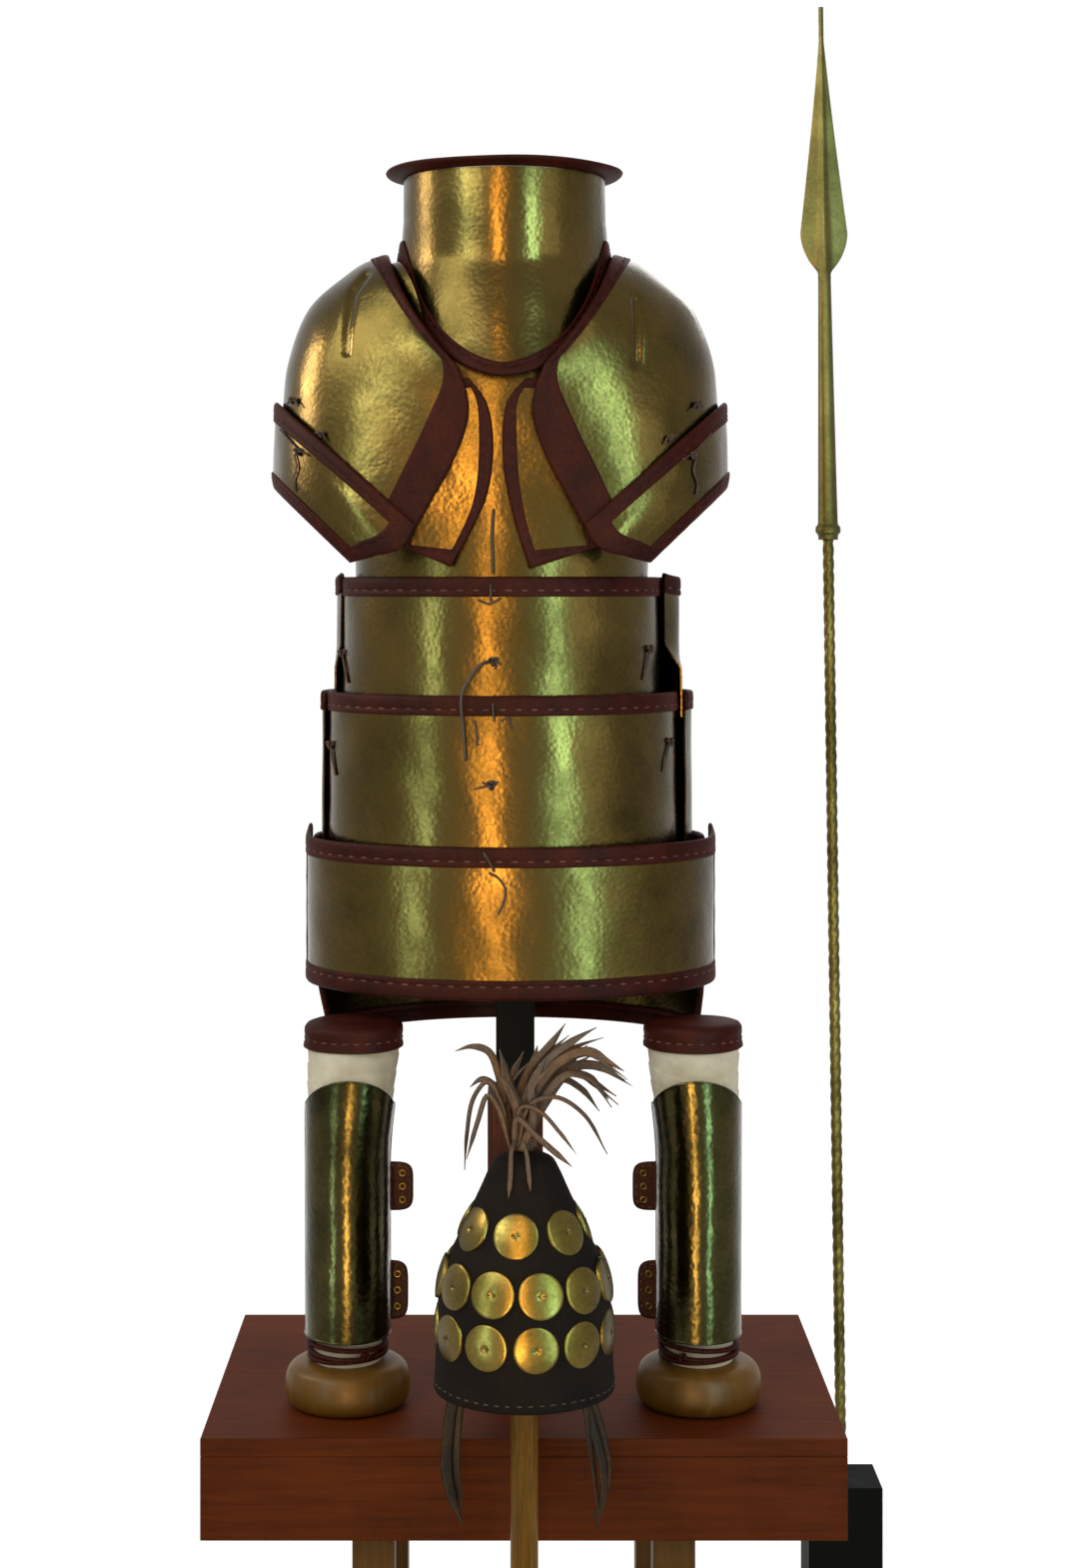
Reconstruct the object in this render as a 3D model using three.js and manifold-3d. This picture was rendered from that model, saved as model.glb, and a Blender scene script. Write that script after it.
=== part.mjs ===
// A Mycenaean bronze armour on its display stand, with a disc-covered cap on a pole in front
// and a bronze spear in a block behind. Millimetres, Z up, the front faces -Y.

import * as THREE from 'three';
import { mergeVertices } from 'three/addons/utils/BufferGeometryUtils.js';
import Module from 'manifold-3d';

const wasm = await Module();
wasm.setup();

// Stock and clearances
const bronze = 2;
const leather = 2;
const seam = 0.5;
const seat = 0.3;
const overrun = 20;
const armPlay = 1.6;
const bindingHalf = bronze / 2 + seam + leather;
const bindingWidth = 22;
const frontBindingWidth = 31;

// The box that everything stands on
const plinth = {
  centreX: 17, width: 717, depth: 474, top: 413, height: 113, board: 20, side: 18,
  leg: 47, legSpreadX: 168, legSpreadY: 190,
};

// The post inside the armour
const post = {
  x: 8, y: 0, width: 46, sleeveWidth: 66, sleeveTop: 750, play: 0.5,
  barHalf: 136, barWidth: 40, barHeight: 45,
};

// Breastplate and backplate: one oval trunk, split at the sides
const trunk = {
  x: -8, halfWidth: 174, hem: 1322, waist: 1366, shoulder: 1735, neckTop: 1744,
  neckHalfWidth: 105, neckHalfDepth: 96, armhole: 76, armholeZ: 1618,
};

// Skirt bands, from the waist down
const bandLap = THREE.MathUtils.degToRad(6);
const bandCornerShare = 0.55;
const bands = {
  top: [1366, 1230, 1058],
  foot: [1200, 1030, 887],
  depth: 146,
  flare: [4, 5, 5],
  room: 0.7,
};
const frontBands = { x: [-9, -7, 2.5], halfWidth: [187, 207, 242.5], extraWidth: [3, 2, 0], ear: [0, 0, 11] };
const backBands = { x: [-0.3, -1, 0.5], halfWidth: [207, 222.5, 231.5], extraWidth: [1, 1, 0], ear: [5, 0, 0] };
const hip = { foot: 812, taper: 123, narrowing: 16, shift: 6, tuck: 8 };

// Collar
const collar = {
  x: -5, halfWidth: 120, halfDepth: 112, top: 1842, drop: 141, backDrop: 80, flatShare: 0.25,
  spreadX: 20, spreadY: 42, bindingWidth: 14, rimReach: 21, rimRise: 5, rimThickness: 5,
};

// Shoulder guards and arm guards are two stretches of one bell-shaped surface
const bell = {
  x: -9.5, halfWidth: 259, top: 1750.3, height: 360, depth: 150.6, armFrom: 0.88, armTo: 1.3,
};
const ridgeShares = [
  [0.52, 0], [0.637, 0.025], [0.741, 0.078], [0.869, 0.161], [0.938, 0.256],
  [0.985, 0.367], [1, 0.478], [1.008, 0.589], [1.012, 0.676], [1.015, 0.761],
];
const frontEdgeShares = [
  [0.193, 0.394], [0.154, 0.475], [0.147, 0.547], [0.178, 0.628], [0.232, 0.717],
  [0.301, 0.806], [0.371, 0.894], [0.432, 0.967], [0.548, 0.989], [0.649, 1.006],
];
const edgeDepthShares = [1, 1, 1, 1, 1, 1, 1, 1, 0.93, 0.82];

// Pointed chest plates between the shoulder guards
const chestPlate = { top: 1592, height: 215, halfSpan: 118, bow: 9 };
const chestInnerShares = [
  [0.203, 0.02], [0.085, 0.2], [0.06, 0.48], [0.15, 0.68], [0.33, 0.93], [0.39, 1],
];
const chestOuterShares = [
  [0.5, 0], [0.8, 0.15], [1, 0.47], [1, 0.7], [0.93, 0.86], [0.9, 0.9],
];

// Legs: a foot, a cloth-covered leg form and a greave on each side
const leg = {
  spread: 203, y: -110, footHeight: 51, footRadius: 72, ankleRadius: 47,
  outer: 46, inner: 46, innerTop: 60, depth: 50, top: 850, swellFrom: 690,
  capHeight: 24, cap: 4,
};
const greave = { foot: 495, height: 297, wrap: 1.66, play: 1.4, arch: 46 };
const ankle = { foot: 467, height: 22, thickness: 6 };
const flap = { thickness: 5, upper: 650, lower: 528, upperHeight: 58, lowerHeight: 70, upperReach: 28, lowerReach: 22 };

// Cap with its plume, chin straps and pole
const cap = {
  x: 17, y: -310, foot: 495, rimHeight: 14, rimOut: 2, radius: 95, shoulderRadius: 90,
  shoulder: 627, crown: 733, crownRadius: 36, topRise: 15, wall: 6,
};
const disc = { radius: 24, height: 6.5, sunk: 3.6 };
const discRowShares = [
  { height: 0.5, count: 11, turn: 0.22 }, { height: 0.88, count: 11, turn: 0.33 }, { height: 1.43, count: 7, turn: 0.84 },
];
const plume = { knotRadius: 20, knotHeight: 34, spread: 112, rise: 128, strip: 9, thickness: 2.4 };
const strap = { width: 15, thickness: 3, length: 150 };
const pole = { radius: 15, baseRadius: 90, baseHeight: 32, head: 30 };

// Spear and its block
const spear = {
  x: 438, y: 290, lean: -27, top: 2118, bladeFoot: 1760, bladeHalf: 31, widest: 0.83, bladeRib: 5,
  socketTop: 8.5, socketFoot: 13, ringRadius: 16, ringHeight: 9, socketEnd: 1417, shaft: 7.5, play: 0.4,
};
const block = { width: 96, depth: 92, height: 185, socketDepth: 75 };

// Facets across the breastplate, the backplate and the collar
const roundCells = 28;

// Laces that hang free
const lace = { width: 3.6, sides: 8 };
const chestLaceRoute = [
  [-17, -140.6, 1444], [-18, -145, 1436], [-19, -145.8, 1416], [-18.4, -146, 1394], [-18, -147.5, 1380], [-18, -150, 1371.5],
];
const bandLaceRoute = [
  [-20, -149.6, 1270], [-28, -163, 1269], [-37, -165, 1262], [-45, -164, 1250],
  [-52, -163.5, 1238], [-54, -163.4, 1225], [-53, -163.6, 1208], [-51, -163.8, 1185], [-49, -164.5, 1158],
];

// Points and curves

const at = (x, y, z) => new THREE.Vector3(x, y, z);
const mix = THREE.MathUtils.lerp;

// A smooth curve through a table of shares of a half-width and a drop, in the X and Z directions
function curveThrough(shares, halfWidth, drop, depths) {
  return new THREE.CatmullRomCurve3(
    shares.map(([x, z], k) => at(x * halfWidth, depths ? depths[k] : 0, -z * drop)));
}

// Grid lines with one at the inner edge of the binding at each end
function gridLines(bindingShare, cells) {
  const lines = [0];
  for (let k = 0; k <= cells; k++) lines.push(mix(bindingShare, 1 - bindingShare, k / cells));
  return [...lines, 1];
}

// The unit normal of a surface, from its own neighbouring points
function normalAt(shown, u, v) {
  const surface = shown.smooth ?? shown;
  const step = 1e-3;
  const along = surface(u + step, v).sub(surface(u - step, v));
  const across = surface(u, v + step).sub(surface(u, v - step));
  return along.cross(across).normalize();
}

// Solids

// Merges equal corners, drops collapsed triangles and turns the faces outward
function tidy(geometry) {
  const bare = geometry.clone();
  bare.deleteAttribute('normal');
  bare.deleteAttribute('uv');
  const merged = mergeVertices(bare, 1e-3);
  const old = merged.index.array;
  const corner = k => new THREE.Vector3().fromBufferAttribute(merged.attributes.position, k);
  const kept = [];
  let volume = 0;
  for (let k = 0; k < old.length; k += 3) {
    const [a, b, c] = [old[k], old[k + 1], old[k + 2]];
    if (a === b || b === c || c === a) continue;
    kept.push(a, b, c);
    volume += corner(a).dot(corner(b).cross(corner(c)));
  }
  merged.setIndex(volume < 0 ? kept.reverse() : kept);
  return merged;
}

function solid(points, triangles) {
  const geometry = new THREE.BufferGeometry();
  geometry.setAttribute('position',
    new THREE.Float32BufferAttribute(points.flatMap(p => p.toArray()), 3));
  geometry.setIndex(triangles);
  return tidy(geometry);
}

// Triangles that close a flat ring of points, in the ring's own direction
function capOf(ring) {
  const normal = new THREE.Vector3();
  ring.forEach((p, k) => normal.add(p.clone().cross(ring[(k + 1) % ring.length])));
  normal.normalize();
  const side = ring[1].clone().sub(ring[0]).normalize();
  const up = normal.clone().cross(side);
  const flat = ring.map(p => new THREE.Vector2(p.dot(side), p.dot(up)));
  return THREE.ShapeUtils.triangulateShape(flat, []).map(([a, b, c]) => {
    const turned = flat[b].clone().sub(flat[a]).cross(flat[c].clone().sub(flat[a])) < 0;
    return turned ? [a, c, b] : [a, b, c];
  });
}

// Joins rings of points into a solid, either closed on itself or with flat ends; swap says which
// four-cornered faces are split along their other diagonal
function loft(rings, closed = false, swap = () => false) {
  const count = rings[0].length;
  const triangles = [];
  const spans = closed ? rings.length : rings.length - 1;
  for (let i = 0; i < spans; i++) {
    const next = (i + 1) % rings.length;
    for (let k = 0; k < count; k++) {
      const [a, b] = [i * count + k, i * count + (k + 1) % count];
      const [c, d] = [next * count + (k + 1) % count, next * count + k];
      if (swap(i, k)) triangles.push(a, b, d, b, c, d);
      else triangles.push(a, b, c, a, c, d);
    }
  }
  if (!closed) {
    const far = (rings.length - 1) * count;
    for (const [a, b, c] of capOf(rings[0])) triangles.push(a, c, b);
    for (const [a, b, c] of capOf(rings.at(-1))) triangles.push(far + a, far + b, far + c);
  }
  return solid(rings.flat(), triangles);
}

// A plate of even thickness on a surface, over a grid of lines
function plate(surface, us, vs, thickness = bronze, wraps = false) {
  const across = wraps ? us.length - 1 : us.length;
  const points = [];
  for (const half of [thickness / 2, -thickness / 2]) {
    for (const v of vs) {
      for (const u of us.slice(0, across)) {
        points.push(surface(u, v).addScaledVector(normalAt(surface, u, v), half));
      }
    }
  }
  const layer = across * vs.length;
  const index = (side, row, column) => side * layer + row * across + (column % across);
  const triangles = [];
  const quad = (a, b, c, d) => triangles.push(a, b, c, a, c, d);
  for (let row = 0; row < vs.length - 1; row++) {
    for (let k = 0; k < us.length - 1; k++) {
      const corners = [[row, k], [row, k + 1], [row + 1, k + 1], [row + 1, k]];
      const nearLeft = k < (us.length - 1) / 2;
      const nearTop = row < (vs.length - 1) / 2;
      if (nearLeft !== nearTop) corners.push(corners.shift());
      const [p, q, r, t] = corners;
      quad(...[p, q, r, t].map(([level, column]) => index(0, level, column)));
      quad(...[p, t, r, q].map(([level, column]) => index(1, level, column)));
    }
    if (wraps) continue;
    const end = us.length - 1;
    quad(index(1, row, 0), index(0, row, 0), index(0, row + 1, 0), index(1, row + 1, 0));
    quad(index(0, row, end), index(1, row, end), index(1, row + 1, end), index(0, row + 1, end));
  }
  const foot = vs.length - 1;
  for (let k = 0; k < us.length - 1; k++) {
    quad(index(1, 0, k), index(1, 0, k + 1), index(0, 0, k + 1), index(0, 0, k));
    quad(index(0, foot, k), index(0, foot, k + 1), index(1, foot, k + 1), index(1, foot, k));
  }
  return solid(points, triangles);
}

// Leather folded over a plate's edge. Each station goes from the edge to the fold's inner line and
// says whether it is on the first half of its edge, because the plate's faces change diagonals there.
// A filled fold has no slot for the plate.
function binding(surface, stations, closed, filled = false) {
  const slot = bronze / 2 + seam;
  const rings = stations.map(({ outer, inner }) => {
    const [edge, back] = [surface(...outer), surface(...inner)];
    const [edgeNormal, backNormal] = [normalAt(surface, ...outer), normalAt(surface, ...inner)];
    const out = edge.clone().sub(back).normalize();
    const place = (point, normal, lift, past) =>
      point.clone().addScaledVector(normal, lift).addScaledVector(out, past);
    const ring = [
      place(back, backNormal, bindingHalf, 0),
      place(edge, edgeNormal, bindingHalf, seam + leather),
      place(edge, edgeNormal, -bindingHalf, seam + leather),
      place(back, backNormal, -bindingHalf, 0),
    ];
    if (filled) return ring;
    return [
      ...ring,
      place(back, backNormal, -slot, 0),
      place(edge, edgeNormal, -slot, seam),
      place(edge, edgeNormal, slot, seam),
      place(back, backNormal, slot, 0),
    ];
  });
  return loft(rings, closed, (i, k) => k % 2 === 0 && stations[i].first === (k % 4 === 0));
}

// Stations along the edge v = 0 only
const topStations = (us, v) => us.map((u, k) =>
  ({ outer: [u, 0], inner: [u, v], first: k < (us.length - 1) / 2 }));

// Stations right round a plate's four edges, with the corners mitred
function roundStations(us, vs) {
  const [u0, u1, v0, v1] = [us[1], us.at(-2), vs[1], vs.at(-2)];
  const inU = u => THREE.MathUtils.clamp(u, u0, u1);
  const inV = v => THREE.MathUtils.clamp(v, v0, v1);
  const side = (lines, outer) => lines.slice(0, -1).map((line, k) => {
    const [u, v] = outer(line);
    return { outer: [u, v], inner: [inU(u), inV(v)], first: k < (lines.length - 1) / 2 };
  });
  return [
    ...side(us, u => [u, 0]),
    ...side(vs, v => [1, v]),
    ...side([...us].reverse(), u => [u, 1]),
    ...side([...vs].reverse(), v => [0, v]),
  ];
}

// A section of evenly spaced points carried along a route
function rod(route, width, thickness, sides, steps, face = null) {
  const curve = new THREE.CatmullRomCurve3(route);
  const frames = curve.computeFrenetFrames(steps, false);
  const rings = [];
  for (let k = 0; k <= steps; k++) {
    const point = curve.getPointAt(k / steps);
    const across = face
      ? face.clone().cross(frames.tangents[k]).normalize() : frames.binormals[k].clone();
    const lift = across.clone().cross(frames.tangents[k]).normalize();
    rings.push(Array.from({ length: sides }, (_, n) => {
      const turn = (n + 0.5) / sides * 2 * Math.PI;
      const reach = 1 / Math.cos(Math.PI / sides);
      return point.clone()
        .addScaledVector(across, Math.cos(turn) * width / 2 * reach)
        .addScaledVector(lift, Math.sin(turn) * thickness / 2 * reach);
    }));
  }
  return loft(rings);
}

// A turned piece about the Z axis, from [radius, height] pairs that start and end on the axis
function turned(profile, segments) {
  const lathe = new THREE.LatheGeometry(profile.map(([r, z]) => new THREE.Vector2(r, z)), segments);
  lathe.rotateX(Math.PI / 2);
  return tidy(lathe);
}

function board(width, depth, height, x, y, foot) {
  return tidy(new THREE.BoxGeometry(width, depth, height).translate(x, y, foot + height / 2));
}

// Joining and cutting

function toManifold(geometry) {
  const bare = tidy(geometry);
  return new wasm.Manifold(new wasm.Mesh({
    numProp: 3,
    vertProperties: bare.attributes.position.array,
    triVerts: new Uint32Array(bare.index.array),
  }));
}

function fromManifold(manifold) {
  const mesh = manifold.getMesh();
  const geometry = new THREE.BufferGeometry();
  geometry.setAttribute('position', new THREE.BufferAttribute(mesh.vertProperties, 3));
  geometry.setIndex(Array.from(mesh.triVerts));
  return geometry;
}

const joined = (...parts) => fromManifold(parts.map(toManifold).reduce((a, b) => a.add(b)));
const cut = (body, ...tools) =>
  fromManifold(tools.map(toManifold).reduce((a, b) => a.subtract(b), toManifold(body)));

// Materials

const finish = (color, roughness, metalness) => ({ color, roughness, metalness });
const hammered = finish('#8f7d45', 0.32, 1);
const hide = finish('#4f1b1a', 0.7, 0);
const redWood = finish('#6b2f16', 0.55, 0);
const paleWood = finish('#8e6c33', 0.5, 0);
const black = finish('#0a0a0c', 0.5, 0);
const cloth = finish('#c9c2aa', 0.9, 0);
const darkHide = finish('#1d1316', 0.8, 0);
const strips = finish('#5d4729', 0.8, 0);
const spearBronze = finish('#6f6b3c', 0.4, 1);

const armour = new THREE.Group();

function add(name, geometry, { color, roughness, metalness }) {
  const material = new THREE.MeshStandardMaterial({ color, roughness, metalness });
  const mesh = new THREE.Mesh(geometry, material);
  mesh.name = name;
  armour.add(mesh);
  return mesh;
}

// Stand: a board on a frame of four sides, four legs, and the post with its sleeve and shoulder bar
function addPlinth() {
  const { centreX, width, depth, top, height, board: thick, side } = plinth;
  const under = top - thick - seat;
  add('plinth_top', board(width, depth, thick, centreX, 0, top - thick), redWood);
  const frameHeight = height - thick - seat;
  const frame = board(width, depth, frameHeight, centreX, 0, top - height);
  const hollow = board(width - 2 * side, depth - 2 * side, frameHeight + 2 * overrun, centreX, 0,
    top - height - overrun);
  add('plinth_frame', cut(frame, hollow), redWood);
  for (const [end, y] of [['front', -plinth.legSpreadY], ['back', plinth.legSpreadY]]) {
    for (const [hand, x] of [['left', -plinth.legSpreadX], ['right', plinth.legSpreadX]]) {
      add(`plinth_leg_${end}_${hand}`, board(plinth.leg, plinth.leg, under, centreX + x, y, 0), paleWood);
    }
  }
}

const barTop = () => trunkShelf(post.barHalf) - bronze / 2 - seat - post.play;

function addPost() {
  const foot = plinth.top + seat;
  const barFoot = barTop() - post.barHeight;
  const sleeve = board(post.sleeveWidth, post.sleeveWidth, post.sleeveTop - foot, post.x, post.y, foot);
  const bore = board(post.width + 2 * seat, post.width + 2 * seat, post.sleeveTop - foot + 2 * overrun,
    post.x, post.y, foot - overrun);
  add('post_sleeve', cut(sleeve, bore), redWood);
  add('post', board(post.width, post.width, barFoot - seat - foot, post.x, post.y, foot), black);
  add('shoulder_bar', board(2 * post.barHalf, post.barWidth, post.barHeight, trunk.x, post.y, barFoot), paleWood);
}

// Height of the trunk's shoulder, halfway through its wall, at a distance from the middle
function trunkShelf(distance) {
  const { neckHalfWidth, shoulder, neckTop } = trunk;
  const outer = trunkProfile().at(-2).halfWidth;
  return mix(neckTop, shoulder, (distance - neckHalfWidth) / (outer - neckHalfWidth));
}

// Half-widths and half-depths of the trunk at its heights
function trunkProfile() {
  const { halfWidth, hem, waist, shoulder, neckTop, neckHalfWidth, neckHalfDepth } = trunk;
  const depth = bands.depth - bindingHalf - 2 * seat - bronze / 2;
  const level = share => mix(waist, shoulder, share);
  return [
    { z: hem, halfWidth, halfDepth: depth },
    { z: waist, halfWidth, halfDepth: depth },
    { z: level(0.35), halfWidth: halfWidth * 1.03, halfDepth: depth * 0.97 },
    { z: level(0.62), halfWidth: halfWidth * 1.06, halfDepth: depth * 0.955 },
    { z: level(0.8), halfWidth: halfWidth * 1.02, halfDepth: depth * 0.9 },
    { z: level(0.92), halfWidth: halfWidth * 0.96, halfDepth: depth * 0.82 },
    { z: shoulder, halfWidth: halfWidth * 0.84, halfDepth: depth * 0.72 },
    { z: neckTop, halfWidth: neckHalfWidth, halfDepth: neckHalfDepth },
  ];
}

// The space that the collar takes up over the trunk, which the trunk's neckline follows
function collarPlug() {
  const surface = collarSurface();
  const count = 32;
  const room = 2 * bindingHalf;
  const roof = trunk.neckTop + overrun;
  const points = [at(collar.x, 0, trunk.shoulder), at(collar.x, 0, roof)];
  const triangles = [];
  for (let k = 0; k < count; k++) {
    const edge = surface(k / count, 0);
    const out = at(edge.x - collar.x, edge.y, 0).setLength(room);
    edge.add(out).setZ(edge.z - 2 * room);
    points.push(edge, edge.clone().setZ(roof));
    const [a, b] = [2 + 2 * k, 2 + 2 * ((k + 1) % count)];
    triangles.push(0, b, a, 1, a + 1, b + 1, a, b, b + 1, a, b + 1, a + 1);
  }
  return solid(points, triangles);
}

function addTrunk() {
  const rows = trunkProfile();
  const surface = (u, v) => {
    const row = THREE.MathUtils.clamp(Math.floor(v), 0, rows.length - 2);
    const share = v - row;
    const turn = 2 * Math.PI * u;
    const pick = key => mix(rows[row][key], rows[row + 1][key], share);
    return at(trunk.x + pick('halfWidth') * Math.sin(turn), -pick('halfDepth') * Math.cos(turn), pick('z'));
  };
  const us = Array.from({ length: roundCells + 1 }, (_, k) => k / roundCells);
  const shell = plate(surface, us, rows.map((_, k) => k), bronze, true);
  const armholes = tidy(new THREE.CylinderGeometry(trunk.armhole, trunk.armhole, 4 * trunk.halfWidth, 20)
    .rotateZ(Math.PI / 2).translate(trunk.x, 0, trunk.armholeZ));
  const open = cut(shell, armholes, collarPlug());
  const big = 4 * trunk.halfWidth;
  const behind = board(big, big, big, trunk.x, big / 2 - seat / 2, trunk.hem - overrun);
  const before = board(big, big, big, trunk.x, -big / 2 + seat / 2, trunk.hem - overrun);
  add('cuirass_front', cut(open, behind), hammered);
  add('cuirass_back', cut(open, before), hammered);
}

// The surface of a skirt band: level is 0 to 2 from the waist, facing is -1 in front and 1 behind
function bandSurface(set, level, facing) {
  const touch = bronze / 2 + seat + bands.room + bindingHalf;
  let depth = bands.depth + (facing > 0 ? bands.room : 0);
  for (let k = 0; k < level; k++) {
    const share = (bands.top[k] - bands.top[k + 1]) / (bands.top[k] - bands.foot[k]);
    depth += bands.flare[k] * share + touch;
  }
  const long = facing > 0 && level === 2;
  const foot = long ? hip.foot : bands.foot[level];
  const cornered = level === 2;
  const span = Math.PI + 2 * bandLap;
  const height = bands.top[level] - foot;
  const cornerV = bindingWidth / height;
  const cornerU = bindingWidth / (set.halfWidth[level] * Math.PI);
  const smooth = (u, v) => {
    const end = Math.abs(2 * u - 1);
    const z = mix(bands.top[level] + set.ear[level] * end ** 16, foot, v);
    const low = long ? Math.max(0, (foot + hip.taper - z) / hip.taper) : 0;
    const halfWidth = set.halfWidth[level] + set.extraWidth[level] * v - hip.narrowing * low * low;
    const halfDepth = depth + bands.flare[level] * v - hip.tuck * low * low;
    const turn = (u - 0.5) * span;
    return at(set.x[level] + hip.shift * low + halfWidth * Math.sin(turn),
      facing * halfDepth * Math.cos(turn), z);
  };
  const surface = (u, v) => {
    if (cornered) {
      const nearU = 1 - Math.min(u, 1 - u) / cornerU;
      const nearV = 1 - (1 - v) / cornerV;
      const pull = bandCornerShare * Math.max(0, nearU) * Math.max(0, nearV);
      u += (u < 0.5 ? 1 : -1) * cornerU * pull;
      v -= cornerV * pull;
    }
    return smooth(u, v);
  };
  surface.smooth = smooth;
  return surface;
}

function addBands() {
  for (const [side, set, facing] of [['front', frontBands, -1], ['back', backBands, 1]]) {
    for (let level = 0; level < 3; level++) {
      const surface = bandSurface(set, level, facing);
      const foot = level === 2 && facing > 0 ? hip.foot : bands.foot[level];
      const us = gridLines(bindingWidth / (set.halfWidth[level] * Math.PI), 14);
      const fold = bindingWidth / (bands.top[level] - foot);
      const bound = level === 2;
      const vs = bound ? gridLines(fold, facing > 0 ? 4 : 2) : [0, fold, 1];
      const stations = bound ? roundStations(us, vs) : topStations(us, fold);
      add(`${side}_band_${level + 1}`, plate(surface, us, vs), hammered);
      add(`${side}_band_binding_${level + 1}`, binding(surface, stations, bound), hide);
    }
  }
}

// Collar: an oval tube that dips to a point in front, with a flared rim and a bound lower edge
function collarSurface() {
  const { x, halfWidth, halfDepth, top, drop, backDrop, flatShare, spreadX, spreadY } = collar;
  const side = barTop() + seat + leather + seam;
  return (u, v) => {
    const turn = 2 * Math.PI * u;
    const ahead = Math.cos(turn);
    const dip = (ahead > 0 ? drop : backDrop)
      * (Math.max(0, Math.abs(ahead) - flatShare) / (1 - flatShare)) ** 1.15;
    const low = side - dip;
    const fold = collar.bindingWidth;
    const z = v <= 1 ? low + fold * v : mix(low + fold, top, v - 1);
    const spread = Math.max(0, (side - z) / drop);
    return at(x + (halfWidth + spreadX * spread) * Math.sin(turn),
      -(halfDepth + spreadY * spread) * ahead, z);
  };
}

const collarRows = [0, 1, 1.33, 1.67, 2];

function addCollar() {
  const surface = collarSurface();
  const us = Array.from({ length: roundCells + 1 }, (_, k) => k / roundCells);
  add('collar', plate(surface, us, collarRows, bronze, true), hammered);
  const stations = topStations(us, 1).slice(0, -1);
  add('collar_binding', binding(surface, stations, true), hide);
  const { x, halfWidth, halfDepth, top, rimReach, rimRise, rimThickness } = collar;
  const foot = top + seat + rimThickness / 2;
  const brim = (u, v) => {
    const turn = 2 * Math.PI * u;
    const reach = mix(-bronze, rimReach, v);
    return at(x + (halfWidth + reach) * Math.sin(turn), -(halfDepth + reach) * Math.cos(turn),
      foot + rimRise * v * v);
  };
  add('collar_rim', plate(brim, us, [0, 0.5, 1], rimThickness, true), hide);
}

// The bell over a shoulder: u runs from the front edge over the ridge to the back edge,
// v from the neckline down to the arm
function bellSurface(side, from = 0, to = 1, offset = 0) {
  const ridge = curveThrough(ridgeShares, bell.halfWidth, bell.height);
  const front = curveThrough(frontEdgeShares, bell.halfWidth, bell.height);
  const depths = new THREE.CatmullRomCurve3(edgeDepthShares.map((share, k) => at(k, share * bell.depth, 0)));
  const base = (u, v) => {
    const s = THREE.MathUtils.clamp(mix(from, to, v) / bell.armTo, 0, 1);
    const [top, edge] = [ridge.getPoint(s), front.getPoint(s)];
    const turn = Math.PI * (u - 0.5);
    const reach = 1 - Math.cos(turn);
    return at(bell.x + side * mix(top.x, edge.x, reach), Math.sin(turn) * depths.getPoint(s).y,
      bell.top + mix(top.z, edge.z, reach));
  };
  if (!offset) return base;
  return (u, v) => base(u, v).addScaledVector(normalAt(base, u, v), -side * offset);
}

const hands = [['left', -1], ['right', 1]];
const bellArc = bell.halfWidth * 2;
const armOffset = 2 * bindingHalf + seat + armPlay;

function addShoulders() {
  const us = gridLines(frontBindingWidth / bellArc, 9);
  for (const [hand, side] of hands) {
    const surface = bellSurface(side);
    const vs = gridLines(bindingWidth / bell.halfWidth * 1.15, 6);
    add(`${hand}_shoulder_guard`, plate(surface, us, vs), hammered);
    add(`${hand}_shoulder_binding`, binding(surface, roundStations(us, vs), true), hide);
    const arm = bellSurface(side, bell.armFrom, bell.armTo, armOffset);
    const rows = gridLines(bindingWidth / (bell.height * (bell.armTo - bell.armFrom)) * 1.3, 2);
    add(`${hand}_arm_guard`, plate(arm, us, rows), hammered);
    add(`${hand}_arm_binding`, binding(arm, roundStations(us, rows), true), hide);
  }
}

// Chest plates: pointed leaves that hang under the front edges of the shoulder guards
function chestSurface(side) {
  const inner = curveThrough(chestInnerShares, chestPlate.halfSpan, chestPlate.height);
  const outer = curveThrough(chestOuterShares, chestPlate.halfSpan, chestPlate.height);
  const front = bell.depth - 2 * bindingHalf - seat - seam;
  return (u, v) => {
    const s = THREE.MathUtils.clamp(v, 0, 1);
    const p = inner.getPoint(s).lerp(outer.getPoint(s), u);
    const bow = chestPlate.bow * (p.x / chestPlate.halfSpan) ** 2;
    return at(bell.x + side * p.x, -(front - bow), chestPlate.top + p.z);
  };
}

function addChestPlates() {
  for (const [hand, side] of hands) {
    const surface = chestSurface(side);
    const us = gridLines(0.14, 2);
    const vs = gridLines(0.07, 6);
    const border = binding(surface, roundStations(us, vs), true, true);
    add(`${hand}_chest_plate`, joined(plate(surface, us, vs), border), hammered);
  }
}

// Legs
function legHalf(side, z) {
  const share = Math.max(0, (z - leg.swellFrom) / (leg.top - leg.swellFrom));
  const inner = mix(leg.inner, leg.innerTop, THREE.MathUtils.smoothstep(share, 0, 1));
  return { centre: -side * (inner - leg.outer) / 2, halfWidth: (inner + leg.outer) / 2, halfDepth: leg.depth };
}

function legPoint(side, turn, z, out = 0) {
  const { centre, halfWidth, halfDepth } = legHalf(side, z);
  return at(plinth.centreX + side * leg.spread + centre + (halfWidth + out) * Math.sin(turn),
    leg.y - (halfDepth + out) * Math.cos(turn), z);
}

function legRing(side, z, out, count = 16) {
  return Array.from({ length: count }, (_, k) => legPoint(side, 2 * Math.PI * k / count, z, out));
}

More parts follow.
